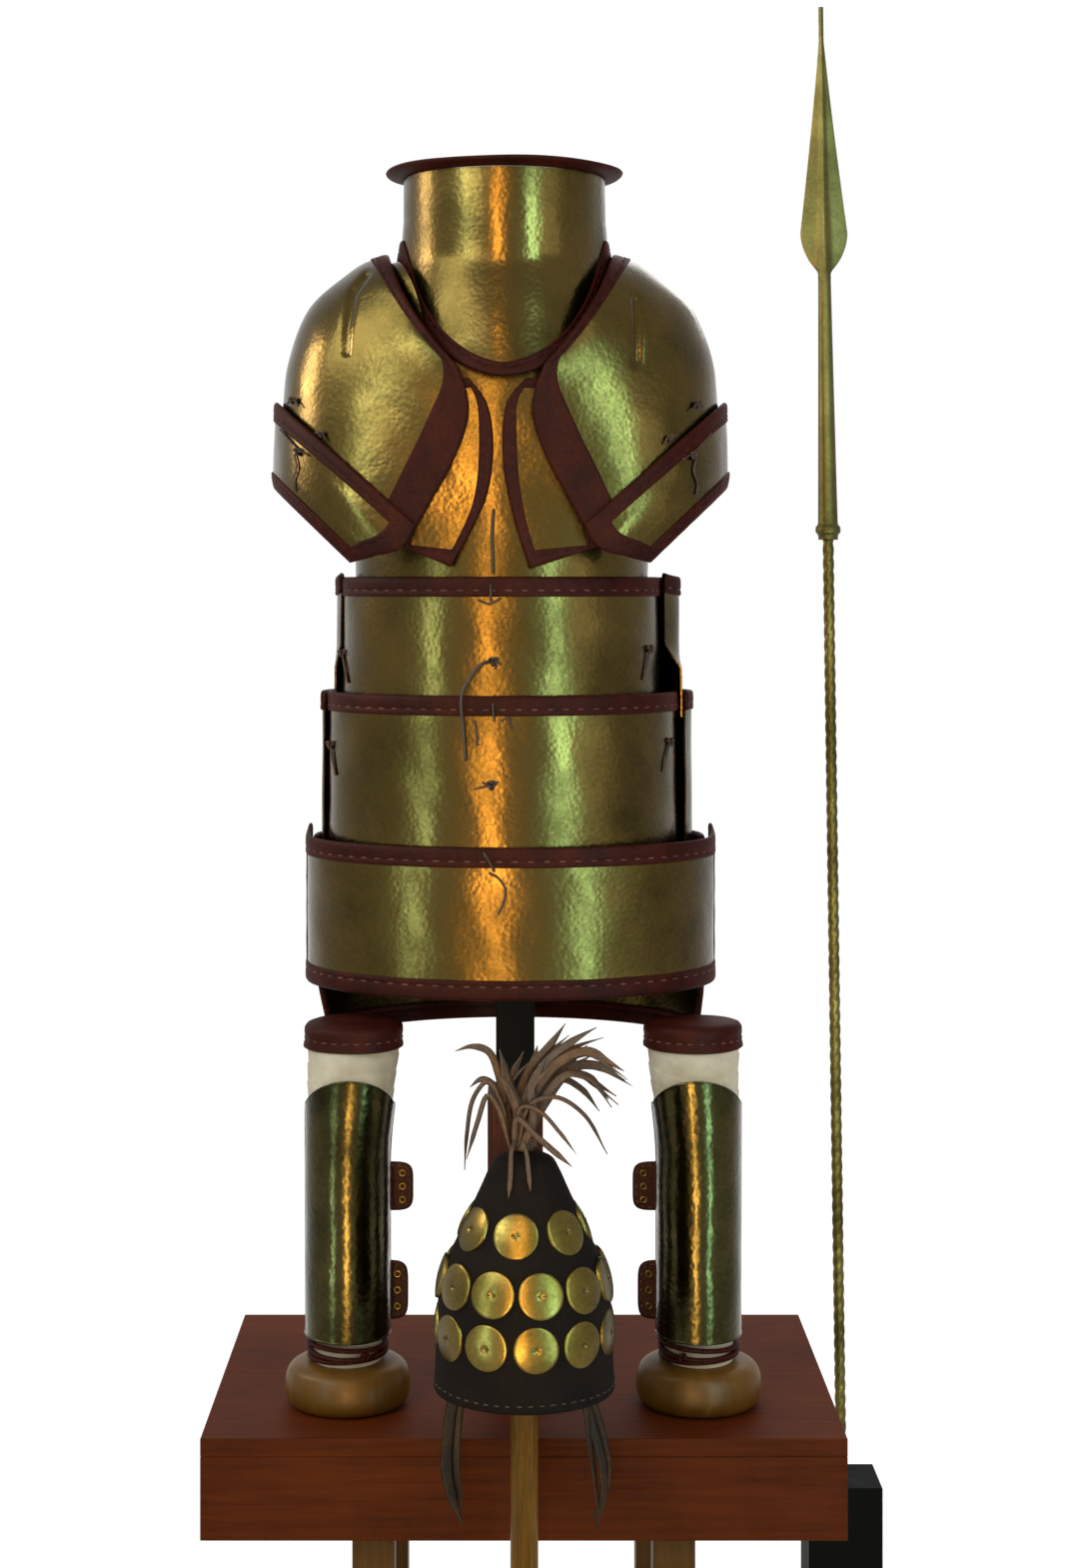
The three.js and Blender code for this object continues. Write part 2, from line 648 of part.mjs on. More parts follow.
function addLeg(hand, side) {
  const x = plinth.centreX + side * leg.spread;
  const floor = plinth.top + seat;
  const { footHeight: high, footRadius: wide } = leg;
  const foot = turned([
    [0, 0], [wide * 0.86, 0], [wide * 0.97, high * 0.16], [wide, high * 0.42], [wide * 0.96, high * 0.72],
    [wide * 0.82, high * 0.93], [leg.ankleRadius, high], [0, high],
  ], 20).translate(x, leg.y, floor);
  add(`${hand}_foot`, foot, paleWood);

  const shin = floor + high + seat;
  const capFoot = leg.top - leg.capHeight;
  const narrow = -0.12 * leg.outer;
  const levels = [[shin, narrow], [ankle.foot + ankle.height, narrow], [greave.foot + ankle.height, 0],
    [leg.swellFrom, 0], [mix(leg.swellFrom, capFoot, 0.5), 0], [capFoot, 0], [leg.top, -leg.cap]];
  add(`${hand}_leg_form`, loft(levels.map(([z, out]) => legRing(side, z, out))), cloth);

  const capOver = (z, out) => legRing(side, z, out);
  const cover = loft([capOver(capFoot, leg.cap), capOver(leg.top - leg.cap, leg.cap * 0.6),
    capOver(leg.top + leg.cap, -leg.cap)]);
  const inside = loft([capOver(capFoot - overrun, seat), capOver(capFoot, seat),
    capOver(leg.top + seat, seat - leg.cap)]);
  add(`${hand}_leg_cap`, cut(cover, inside), hide);

  const greaveOut = greave.play + bronze / 2;
  const { foot: low, height: tall, arch } = greave;
  const greaveSurface = (u, v) => {
    const across = 2 * u - 1;
    const z = low + v * (tall - arch * (1 - Math.sqrt(Math.max(0, 1 - across * across * 0.96))));
    return legPoint(side, greave.wrap * across * mix(1, 0.93, v), z, greaveOut);
  };
  const us = [0, 0.04, 0.12, 0.22, 0.34, 0.44, 0.56, 0.66, 0.78, 0.88, 0.96, 1];
  add(`${hand}_greave`, plate(greaveSurface, us, [0, 0.25, 0.5, 0.68, 0.84, 1]), hammered);

  const anklePlate = (u, v) => legPoint(side, 2 * Math.PI * u, ankle.foot + ankle.height * v,
    narrow + seat + ankle.thickness / 2);
  const round = Array.from({ length: 17 }, (_, k) => k / 16);
  add(`${hand}_ankle_strap`, plate(anklePlate, round, [0, 0.5, 1], ankle.thickness * 0.96, true), hide);

  add(`${hand}_upper_flap`, flapGeometry(side, flap.upper, flap.upperHeight, flap.upperReach), hide);
  add(`${hand}_lower_flap`, flapGeometry(side, flap.lower, flap.lowerHeight, flap.lowerReach), hide);
}

// A leather tab of the greave's fastening: it lies across the calf and sticks out on the inner side
function flapGeometry(side, z, h, reach) {
  const start = legPoint(side, Math.PI, z, seat);
  const w = leg.inner + reach;
  const corner = h * 0.28;
  const shape = new THREE.Shape();
  shape.moveTo(0, -h / 2);
  shape.lineTo(w - corner, -h / 2);
  shape.quadraticCurveTo(w, -h / 2, w, -h / 2 + corner);
  shape.lineTo(w, h / 2 - corner);
  shape.quadraticCurveTo(w, h / 2, w - corner, h / 2);
  shape.lineTo(0, h / 2);
  const slab = new THREE.ExtrudeGeometry(shape, { depth: flap.thickness, bevelEnabled: false, curveSegments: 3 });
  slab.rotateX(Math.PI / 2);
  slab.translate(0, flap.thickness, 0);
  if (side > 0) slab.scale(-1, 1, 1);
  return tidy(slab.translate(start.x, start.y, start.z));
}

// Cap: a leather shell with rows of discs, a plume tied at the crown and two chin straps
function capProfile() {
  const { foot, rimHeight, rimOut, radius, shoulderRadius, shoulder, crown, crownRadius, topRise } = cap;
  return [
    [radius + rimOut, foot], [radius + rimOut, foot + rimHeight], [radius, foot + rimHeight],
    [shoulderRadius, shoulder], [crownRadius, crown], [crownRadius * 0.45, crown + 0.85 * topRise],
  ];
}

// Radius and slope of the cap's outside at a height, as a share of the way up its side wall
function capAt(share) {
  const { foot, radius, shoulder, shoulderRadius, crown, crownRadius } = cap;
  const lower = share <= 1;
  const z = lower ? mix(foot, shoulder, share) : mix(shoulder, crown, share - 1);
  const r = lower ? mix(radius, shoulderRadius, share) : mix(shoulderRadius, crownRadius, share - 1);
  const [dr, dz] = lower
    ? [shoulderRadius - radius, shoulder - foot] : [crownRadius - shoulderRadius, crown - shoulder];
  return { z, r, tilt: Math.atan2(-dr, dz) };
}

function addCap() {
  const profile = capProfile();
  const inner = profile.filter((_, k) => k !== 1).map(([r, z], k) => [
    Math.max(r - cap.wall - (k === 0 ? cap.rimOut : 0), 0), k === 0 ? z : z - cap.wall * 0.4]);
  const outline = [[0, cap.crown + cap.topRise], ...profile.reverse(), ...inner, [0, inner.at(-1)[1]]];
  const shell = turned(outline, 20).translate(cap.x, cap.y, 0);
  const lens = [[0, -disc.sunk], [disc.radius, -disc.sunk], [disc.radius, 0],
    [disc.radius * 0.6, (disc.height - disc.sunk) * 0.72], [0, disc.height - disc.sunk]];
  const discs = [];
  for (const { height, count, turn } of discRowShares) {
    const { z, r, tilt } = capAt(height);
    for (let k = 0; k < count; k++) {
      const one = turned(lens, 8).rotateX(Math.PI / 2 - tilt);
      one.translate(0, -r, 0).rotateZ(2 * Math.PI * (k + turn) / count).translate(cap.x, cap.y, z);
      discs.push(one);
    }
  }
  add('cap', joined(shell, ...discs), darkHide);
}

// Plume: strips of hide that fan out of a tied knot on the crown, most of them to the right
const plumeStrips = [
  [-12, 0.92, 1], [2, 1, 0.9], [14, 0.96, 0.8], [26, 0.9, 1], [36, 0.86, 1], [46, 0.84, 0.9], [56, 0.72, 1],
  [66, 0.6, 0.95], [-28, 0.74, 1], [-42, 0.62, 0.95], [78, 0.24, 0.9], [-64, 0.18, 0.8], [8, 0.8, -0.6], [30, 0.7, -0.7],
];

function addPlume() {
  const base = cap.crown + cap.topRise + seat;
  const knot = turned([[0, 0], [plume.knotRadius * 0.8, 0], [plume.knotRadius, plume.knotHeight * 0.4],
    [plume.knotRadius * 0.7, plume.knotHeight], [0, plume.knotHeight]], 12);
  const strands = plumeStrips.map(([lean, rise, ahead], k) => {
    const share = lean / 80;
    const tip = at(share * plume.spread, -ahead * plume.knotRadius * (0.6 + 0.4 * (k % 3)),
      plume.knotHeight * 0.5 + plume.rise * (rise - 0.15));
    const root = at(share * plume.knotRadius * 0.4, -ahead * plume.knotRadius * 0.2, plume.knotHeight * 0.35);
    const middle = root.clone().lerp(tip, 0.55);
    middle.x *= 0.72;
    middle.z += plume.rise * 0.13;
    return rod([root, middle, tip], plume.strip, plume.thickness, 4, 6, at(0, -1, 0));
  });
  add('plume', joined(knot, ...strands).translate(cap.x, cap.y, base), strips);
}

function addChinStraps() {
  for (const [hand, side] of hands) {
    const foot = cap.foot - 2 * seat - strap.thickness / 4;
    const x = side * (cap.radius - cap.wall);
    const route = [[1, 0], [1.04, 0.3], [0.99, 0.62], [0.86, 1]].map(([out, down], k) =>
      at(cap.x + x * out, cap.y - strap.width * 0.2 * k, foot - strap.length * down));
    add(`${hand}_chin_strap`, rod(route, strap.width, strap.thickness, 4, 8, at(side, 0, 0)), strips);
  }
}

function addPole() {
  const crownIn = cap.crown - cap.wall * 0.4 - seat;
  const r = cap.crownRadius - cap.wall - seat;
  const slope = (cap.shoulderRadius - cap.crownRadius) / (cap.crown - cap.shoulder);
  const low = r + slope * pole.head;
  const { radius, baseRadius: base, baseHeight: high } = pole;
  add('cap_stand', turned([
    [0, 0], [base, 0], [base, high * 0.5], [base * 0.9, high * 0.82], [base * 0.4, high], [radius, high * 1.25],
    [radius, crownIn - 2 * pole.head], [low, crownIn - pole.head], [r, crownIn], [0, crownIn],
  ], 20).translate(cap.x, cap.y, 0), paleWood);
}

// Spear: head, shaft and block share one leaning axis
function spearPoint(z) {
  const share = (z - block.height) / (spear.top - block.height);
  return at(spear.x + spear.lean * share, spear.y, z);
}

function addSpear() {
  const { top, bladeFoot, bladeHalf, widest, bladeRib, socketTop, socketFoot, ringRadius, ringHeight, socketEnd } = spear;
  const bladeLength = top - bladeFoot;
  const section = (z, half, rib) => {
    const centre = spearPoint(z);
    return Array.from({ length: 12 }, (_, k) => {
      const turn = 2 * Math.PI * k / 12;
      const round = at(Math.cos(turn) * rib, Math.sin(turn) * rib, 0);
      if (k % 6 === 0) round.x = Math.sign(round.x) * Math.max(half, rib);
      return round.add(centre);
    });
  };
  const blade = [0.004, 0.2, 0.4, 0.6, 0.74, widest, 0.9, 0.96].map(s => {
    const swell = s < widest ? (s / widest) ** 1.25 : Math.cos((s - widest) / (1 - widest) * Math.PI / 2) ** 0.8;
    return section(top - s * bladeLength, Math.max(bladeHalf * swell, bladeRib * 0.3),
      mix(bladeRib * 0.3, bladeRib, Math.min(1, s / widest)) + Math.max(0, s - widest) * socketTop);
  });
  const ringTop = socketEnd + 2 * ringHeight;
  const socket = [[bladeFoot, socketTop], [ringTop, socketFoot], [ringTop, ringRadius],
    [ringTop - ringHeight, ringRadius], [ringTop - ringHeight, socketFoot], [socketEnd, socketFoot]]
    .map(([z, r]) => section(z, r, r));
  const whole = loft([...blade, ...socket].reverse());
  const up = spearPoint(top).sub(spearPoint(0)).normalize();
  const shaftFoot = block.height - block.socketDepth + seat;
  const shaftTop = ringTop + ringHeight * 4;
  const round = (from, to, r, count) => {
    const length = to - from;
    const one = new THREE.CylinderGeometry(r, r, length, count).rotateX(Math.PI / 2);
    one.applyQuaternion(new THREE.Quaternion().setFromUnitVectors(at(0, 0, 1), up));
    const middle = spearPoint((from + to) / 2);
    return tidy(one.translate(middle.x, middle.y, middle.z));
  };
  const play = spear.play;
  add('spear_head', cut(whole, round(socketEnd - overrun, shaftTop + seat, spear.shaft + play, 12)), spearBronze);
  add('spear_shaft', round(shaftFoot, shaftTop, spear.shaft, 12), spearBronze);
  const body = board(block.width, block.depth, block.height, spear.x, spear.y, 0);
  const hole = round(block.height - block.socketDepth, block.height + overrun, spear.shaft + play, 12);
  add('spear_block', cut(body, hole), black);
}

function addLaces() {
  for (const [name, route, steps] of [['chest_lace', chestLaceRoute, 8], ['band_lace', bandLaceRoute, 14]]) {
    const points = route.map(([x, y, z]) => at(x, y, z));
    add(name, rod(points, lace.width, lace.width, lace.sides, steps), hide);
  }
}

addPlinth();
addPost();
addTrunk();
addBands();
addCollar();
addShoulders();
addChestPlates();
for (const [hand, side] of hands) addLeg(hand, side);
addCap();
addPlume();
addChinStraps();
addPole();
addSpear();
addLaces();

// The origin is on the floor, in the middle of everything
const bounds = new THREE.Box3().setFromObject(armour);
const middle = bounds.getCenter(at(0, 0, 0));
armour.position.set(-middle.x, -middle.y, -bounds.min.z);

const part = new THREE.Group();
part.add(armour);

export default part;
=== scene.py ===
# Mycenaean bronze armour on its display stand. Metres, Z up, the armour faces -Y.
# Sizes in the dictionaries are millimetres before the shift to the frame's origin.
from functools import partial
import bpy
import bmesh
import numpy as np
from mathutils import Matrix


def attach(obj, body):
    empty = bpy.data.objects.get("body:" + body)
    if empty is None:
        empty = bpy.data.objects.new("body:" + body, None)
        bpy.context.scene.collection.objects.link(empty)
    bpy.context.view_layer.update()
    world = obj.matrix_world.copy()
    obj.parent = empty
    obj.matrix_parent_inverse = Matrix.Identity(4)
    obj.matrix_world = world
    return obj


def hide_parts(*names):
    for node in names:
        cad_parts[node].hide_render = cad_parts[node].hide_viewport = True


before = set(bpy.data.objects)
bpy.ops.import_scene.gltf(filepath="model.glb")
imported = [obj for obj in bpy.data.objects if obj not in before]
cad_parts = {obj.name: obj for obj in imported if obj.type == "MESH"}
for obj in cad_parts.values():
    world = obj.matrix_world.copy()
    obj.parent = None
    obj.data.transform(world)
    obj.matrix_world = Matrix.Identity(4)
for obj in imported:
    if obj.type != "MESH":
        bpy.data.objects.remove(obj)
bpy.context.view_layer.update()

mm = 0.001
shift = np.array([-72.25, 35.5, 0.0])        # from the part's own drawing to the frame's origin
turnFull = 2 * np.pi


def toFrame(points):
    # Drawing millimetres to frame metres: add the shift, divide by a thousand
    return (np.asarray(points, dtype=float) + shift) * mm


# Camera: the photograph's view, worked out from the armour's size and the floor line

camera = {"at": (0.0, -3014.0, 1358.0), "focalPixels": 2512.0, "centre": (509.0, 585.0),
          "photo": (1079, 1569), "sensor": 36.0}


def addCamera():
    wide, high = camera["photo"]
    data = bpy.data.cameras.new("photoCamera")
    data.sensor_fit = "VERTICAL"
    data.sensor_height = camera["sensor"]
    data.lens = camera["focalPixels"] / high * camera["sensor"]
    data.shift_x = (wide / 2 - camera["centre"][0]) / high
    data.shift_y = (camera["centre"][1] - high / 2) / high
    data.clip_end = 50
    eye = bpy.data.objects.new("photoCamera", data)
    eye.location = toFrame(camera["at"])
    eye.rotation_euler = (np.pi / 2, 0, 0)
    bpy.context.scene.collection.objects.link(eye)
    bpy.context.scene.camera = eye


addCamera()
print("camera placed")


# Curves and meshes

def unit(vectors):
    return vectors / np.maximum(np.linalg.norm(vectors, axis=-1, keepdims=True), 1e-12)


def alongCurve(knots, t):
    # Centripetal Catmull-Rom curve through the knots: each span is a cubic whose end slopes come
    # from the neighbouring knots, weighted by the square roots of the distances between them
    knots = np.asarray(knots, dtype=float)
    first = 2 * knots[0] - knots[1]
    last = 2 * knots[-1] - knots[-2]
    padded = np.vstack([first, knots, last])
    t = np.clip(np.asarray(t, dtype=float), 0, 1) * (len(knots) - 1)
    span = np.minimum(t.astype(int), len(knots) - 2)
    w = (t - span)[..., None]
    p0, p1, p2, p3 = (padded[span + k] for k in range(4))
    gap = lambda a, b: np.sqrt(np.linalg.norm(b - a, axis=-1, keepdims=True))
    d1 = np.maximum(gap(p1, p2), 1e-9)
    d0, d2 = gap(p0, p1), gap(p2, p3)
    d0 = np.where(d0 < 1e-4, d1, d0)
    d2 = np.where(d2 < 1e-4, d1, d2)
    m1 = ((p1 - p0) / d0 - (p2 - p0) / (d0 + d1) + (p2 - p1) / d1) * d1
    m2 = ((p2 - p1) / d1 - (p3 - p1) / (d1 + d2) + (p3 - p2) / d2) * d1
    return (p1 + m1 * w + (3 * (p2 - p1) - 2 * m1 - m2) * w ** 2
            + (2 * (p1 - p2) + m1 + m2) * w ** 3)


def runOf(line):
    # The distance along a broken line up to each of its points
    steps = np.linalg.norm(np.diff(line, axis=0), axis=1)
    return np.concatenate([[0], np.cumsum(steps)])


def sampleOf(values, run, wanted):
    return np.stack([np.interp(wanted, run, values[:, k]) for k in range(3)], axis=-1)


def evenly(points, count):
    # Points at even distances along a broken line
    points = np.asarray(points, dtype=float)
    run = runOf(points)
    return sampleOf(points, run, np.linspace(0, run[-1], count))


def normalsOf(surface, u, v):
    # The cross product of the surface's two slopes, each taken over a short step
    step = 1e-3
    along = surface(u + step, v) - surface(u - step, v)
    across = surface(u, v + step) - surface(u, v - step)
    return unit(np.cross(along, across))


def stacked(*values):
    # Numbers and arrays side by side, as the columns of points or faces
    return np.stack(np.broadcast_arrays(*values), axis=-1)


def gridFaces(rows, columns, wrapColumns=False, wrapRows=False):
    # Four-cornered faces between neighbouring points of a grid, row by row
    r = np.arange(rows if wrapRows else rows - 1)
    c = np.arange(columns if wrapColumns else columns - 1)
    r, c = np.meshgrid(r, c, indexing="ij")
    r2, c2 = (r + 1) % rows, (c + 1) % columns
    faces = stacked(r * columns + c, r * columns + c2, r2 * columns + c2, r2 * columns + c)
    return faces.reshape(-1, 4)


def closedRings(rings, ends=None):
    # Rings of points joined in order, and triangles from each end ring to one point: the ring's own
    # middle, or the point that is given
    rows, sides = rings.shape[:2]
    if ends is None:
        ends = [rings[0].mean(axis=0), rings[-1].mean(axis=0)]
    k = np.arange(sides)
    count, far, after = rows * sides, (rows - 1) * sides, (k + 1) % sides
    faces = np.vstack([gridFaces(rows, sides, wrapColumns=True), stacked(count, after, k, k),
                       stacked(count + 1, far + k, far + after, far + after)])
    return np.vstack([rings.reshape(-1, 3), ends]), faces


def signedVolume(points, faces):
    a, b, c, d = (points[faces[:, k]] for k in range(4))
    return (np.einsum("ij,ij->i", a, np.cross(b, c)) + np.einsum("ij,ij->i", a, np.cross(c, d))).sum()


def newMesh(name, points, faces, body, slot, material, replaced=(), sharp=None, turnOut=True):
    # Points in drawing millimetres; faces are rows of four corners, and a triangle repeats one of them
    points = toFrame(points)
    faces = np.asarray(faces)
    if turnOut and signedVolume(points, faces) < 0:
        faces = faces[:, ::-1]
    mesh = bpy.data.meshes.new(name)
    corners = [list(dict.fromkeys(face)) for face in faces.tolist()]
    mesh.from_pydata(points.tolist(), [], [face for face in corners if len(face) > 2])
    mesh.polygons.foreach_set("use_smooth", np.ones(len(mesh.polygons), dtype=bool))
    mesh.update()
    piece = bpy.data.objects.new(name, mesh)
    bpy.context.scene.collection.objects.link(piece)
    mesh.materials.append(material)
    if sharp:
        mesh.set_sharp_from_angle(angle=np.radians(sharp))
    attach(piece, body)
    if replaced:
        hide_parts(*replaced)
    return piece


def tubeMesh(path, radius, sides=10, flat=1.0, facing=(0.31, -0.17, 0.93)):
    # A ring of points carried along a path: the ring's two directions are the path's side direction
    # and its cross product with the path, and a point a little way out closes each end
    path = np.asarray(path, dtype=float)
    tangent = unit(np.gradient(path, axis=0))
    side = unit(np.cross(tangent, np.array(facing)))
    lift = unit(np.cross(tangent, side))
    angle = np.linspace(0, turnFull, sides, endpoint=False)[None, :, None]
    ring = np.cos(angle) * side[:, None] + np.sin(angle) * lift[:, None] * flat
    body = path[:, None] + ring * radius
    tips = [path[end] + tangent[end] * way * radius * 0.35 for end, way in ((0, -1), (-1, 1))]
    return closedRings(body, tips)


def joinMeshes(parts):
    # Several meshes of points and faces as one
    points, faces, start = [], [], 0
    for p, f in parts:
        points.append(p)
        faces.append(np.asarray(f) + start)
        start += len(p)
    return np.vstack(points), np.vstack(faces)


# Cords: the two thong ends that hang free. They lie on the route of their solids.

laceRoutes = {
    "chestLace": {"node": "chest_lace", "body": "stand", "route": [
        [-17, -140.6, 1444], [-18, -145, 1436], [-19, -145.8, 1416], [-18.4, -146, 1394],
        [-18, -147.5, 1380], [-18, -150, 1371.5]]},
    "bandLace": {"node": "band_lace", "body": "stand", "route": [
        [-20, -149.6, 1270], [-28, -163, 1269], [-37, -165, 1262], [-45, -164, 1250], [-52, -163.5, 1238],
        [-54, -163.4, 1225], [-53, -163.6, 1208], [-51, -163.8, 1185], [-49, -164.5, 1158]]},
}
laceWidth = 3.6


def addFreeLaces(material):
    for name, lace in laceRoutes.items():
        path = evenly(alongCurve(lace["route"], np.linspace(0, 1, 200)), 40)
        points, faces = tubeMesh(path, laceWidth / 2, sides=12)
        cord = newMesh(name, points, faces, lace["body"], "lacing", material, [lace["node"]])


# Materials

def linear(hexText):
    # sRGB hex to linear: the standard curve, c/12.92 below 0.04045, else ((c+0.055)/1.055)^2.4
    values = [int(hexText[k:k + 2], 16) / 255 for k in (1, 3, 5)]
    return tuple(c / 12.92 if c <= 0.04045 else ((c + 0.055) / 1.055) ** 2.4 for c in values) + (1.0,)


def addNode(tree, kind, settings=None, inputs=None, output=0):
    node = tree.nodes.new("ShaderNode" + kind)
    for key, value in (settings or {}).items():
        if key == "stops":
            line = node.color_ramp.elements
            while len(line) < len(value):
                line.new(0.5)
            for element, (place, colour) in zip(line, value):
                element.position = place
                element.color = linear(colour) if isinstance(colour, str) else (colour, colour, colour, 1)
        else:
            setattr(node, key, value)
    for key, value in (inputs or {}).items():
        if isinstance(value, bpy.types.NodeSocket):
            tree.links.new(value, node.inputs[key])
        else:
            node.inputs[key].default_value = value
    return node.outputs[output]


def newMaterial(name):
    material = bpy.data.materials.new(name)
    material.use_nodes = True
    return material, partial(addNode, material.node_tree)


def setShader(material, **sockets):
    shader = material.node_tree.nodes["Principled BSDF"]
    for key, value in sockets.items():
        socket = shader.inputs[key.replace("_", " ")]
        if isinstance(value, bpy.types.NodeSocket):
            material.node_tree.links.new(value, socket)
        else:
            socket.default_value = value
    return material


# Tin bronze sheet, planished with a small hammer: close shallow dents over slow waves, olive where the
# metal is clean and brown where it has tarnished, so that highlights break into grains at their edges
bronzeLook = {"dent": 5.5, "dentHeight": 0.035, "wave": 70.0, "waveHeight": 2.0, "fine": 0.06,
              "bright": "#4F4020", "mid": "#3F3318", "tarnish": "#2B220E", "rough": 0.19}


def hammeredBronze(name="hammeredTinBronze", look=bronzeLook):
    material, add = newMaterial(name)
    place = add("TexCoord", output="Object")
    wobble = add("TexNoise", None, {"Vector": place, "Scale": 1 / (40 * mm), "Detail": 2.0}, "Color")
    bent = add("VectorMath", {"operation": "MULTIPLY_ADD"}, {0: wobble, 1: (0.006, 0.006, 0.006), 2: place})
    dents = add("TexVoronoi", {"feature": "SMOOTH_F1"},
                {"Vector": bent, "Scale": 1 / (look["dent"] * mm), "Smoothness": 0.7}, "Distance")
    waves = add("TexNoise", None, {"Vector": place, "Scale": 1 / (look["wave"] * mm), "Detail": 1.5})
    cloud = add("TexNoise", None, {"Vector": place, "Scale": 1 / (110 * mm), "Detail": 6.0,
                                   "Roughness": 0.6})
    fine = add("TexNoise", None, {"Vector": place, "Scale": 1 / (4 * mm), "Detail": 5.0, "Roughness": 0.65})
    patch = add("Mix", {"data_type": "RGBA"}, {0: 0.3, 6: cloud, 7: fine}, 2)
    colour = add("ValToRGB", {"stops": [(0.33, look["tarnish"]), (0.47, look["mid"]),
                                        (0.62, look["bright"])]}, {0: patch})
    rough = add("ValToRGB", {"stops": [(0.34, look["rough"] + 0.16), (0.6, look["rough"])]}, {0: patch})
    low = add("Bump", None, {"Height": waves, "Distance": look["waveHeight"] * mm})
    struck = add("Bump", None, {"Height": dents, "Distance": look["dentHeight"] * look["dent"] * mm,
                                "Normal": low})
    normal = add("Bump", None, {"Height": fine, "Distance": look["fine"] * mm, "Normal": struck})
    return setShader(material, Base_Color=colour, Metallic=1.0, Roughness=rough, Normal=normal)


# Oil-tanned cowhide, dyed and waxed: fine grain cells, rubbed lighter on its high parts
def leather(name, dark, mid, light, grain=1.6, rough=0.55, gloss=0.5):
    material, add = newMaterial(name)
    place = add("TexCoord", output="Object")
    cells = add("TexVoronoi", {"feature": "F1"}, {"Vector": place, "Scale": 1 / (grain * mm)}, "Distance")
    broad = add("TexNoise", None, {"Vector": place, "Scale": 1 / (35 * mm), "Detail": 5.0,
                                   "Roughness": 0.6})
    fine = add("TexNoise", None, {"Vector": place, "Scale": 1 / (4 * mm), "Detail": 4.0, "Roughness": 0.6})
    patch = add("Mix", {"data_type": "RGBA"}, {0: 0.4, 6: broad, 7: fine}, 2)
    colour = add("ValToRGB", {"stops": [(0.33, dark), (0.5, mid), (0.68, light)]}, {0: patch})
    low = add("Bump", None, {"Height": cells, "Distance": 0.35 * mm, "Strength": 0.7})
    normal = add("Bump", None, {"Height": fine, "Distance": 0.6 * mm, "Strength": 0.6, "Normal": low})
    return setShader(material, Base_Color=colour, Roughness=rough, Specular_IOR_Level=gloss, Normal=normal)


# Pine, lime and ash boards and turned parts: rings stretched along the grain, oiled or varnished
def wood(name, dark, mid, light, along="Z", rough=0.5, ring=9.0, gloss=0.35):
    material, add = newMaterial(name)
    stretch = {"X": (0.07, 1, 1), "Y": (1, 0.07, 1), "Z": (1, 1, 0.07)}[along]
    place = add("Mapping", None, {"Vector": add("TexCoord", output="Object"), "Scale": stretch})
    rings = add("TexNoise", None, {"Vector": place, "Scale": 1 / (ring * mm), "Detail": 5.0,
                                   "Roughness": 0.6, "Distortion": 1.2})
    pores = add("TexNoise", None, {"Vector": place, "Scale": 1 / (1.4 * mm), "Detail": 3.0,
                                   "Roughness": 0.6})
    patch = add("Mix", {"data_type": "RGBA"}, {0: 0.3, 6: rings, 7: pores}, 2)
    colour = add("ValToRGB", {"stops": [(0.33, dark), (0.5, mid), (0.66, light)]}, {0: patch})
    normal = add("Bump", None, {"Height": patch, "Distance": 0.5 * mm, "Strength": 0.6})
    return setShader(material, Base_Color=colour, Roughness=rough, Specular_IOR_Level=gloss, Normal=normal)


# Oil paint brushed on board: nearly even, with faint brush marks and slow changes of tone
def paint(name, colour, light, along="X", rough=0.5, gloss=0.3):
    material, add = newMaterial(name)
    stretch = {"X": (0.05, 1, 1), "Y": (1, 0.05, 1), "Z": (1, 1, 0.05)}[along]
    place = add("TexCoord", output="Object")
    drawn = add("Mapping", None, {"Vector": place, "Scale": stretch})
    marks = add("TexNoise", None, {"Vector": drawn, "Scale": 1 / (6 * mm), "Detail": 4.0, "Roughness": 0.6})
    broad = add("TexNoise", None, {"Vector": place, "Scale": 1 / (150 * mm), "Detail": 4.0,
                                   "Roughness": 0.6})
    patch = add("Mix", {"data_type": "RGBA"}, {0: 0.45, 6: broad, 7: marks}, 2)
    tone = add("ValToRGB", {"stops": [(0.35, colour), (0.68, light)]}, {0: patch})
    normal = add("Bump", None, {"Height": marks, "Distance": 0.25 * mm, "Strength": 0.6})
    return setShader(material, Base_Color=tone, Roughness=rough, Specular_IOR_Level=gloss, Normal=normal)


# Unbleached linen wound round the leg: a plain weave of round threads that looks soft and matt
def cloth(name, dark, light, thread):
    material, add = newMaterial(name)
    place = add("TexCoord", output="Object")
    drawn = add("Mapping", None, {"Vector": place, "Scale": (1, 1, 0.25)})
    weft = add("TexWave", {"bands_direction": "Z", "wave_profile": "SIN"},
               {"Vector": place, "Scale": 0.314 / (thread * mm), "Distortion": 0.6, "Detail": 2.0}, 1)
    warp = add("TexNoise", None, {"Vector": drawn, "Scale": 1 / (thread * mm), "Detail": 2.0})
    broad = add("TexNoise", None, {"Vector": place, "Scale": 1 / (45 * mm), "Detail": 4.0,
                                   "Roughness": 0.55})
    tone = add("ValToRGB", {"stops": [(0.35, dark), (0.62, light)]}, {0: broad})
    low = add("Bump", None, {"Height": weft, "Distance": 0.4 * mm, "Strength": 0.5})
    normal = add("Bump", None, {"Height": warp, "Distance": 0.5 * mm, "Strength": 0.5, "Normal": low})
    return setShader(material, Base_Color=tone, Roughness=0.92, Sheen_Weight=0.25, Normal=normal)


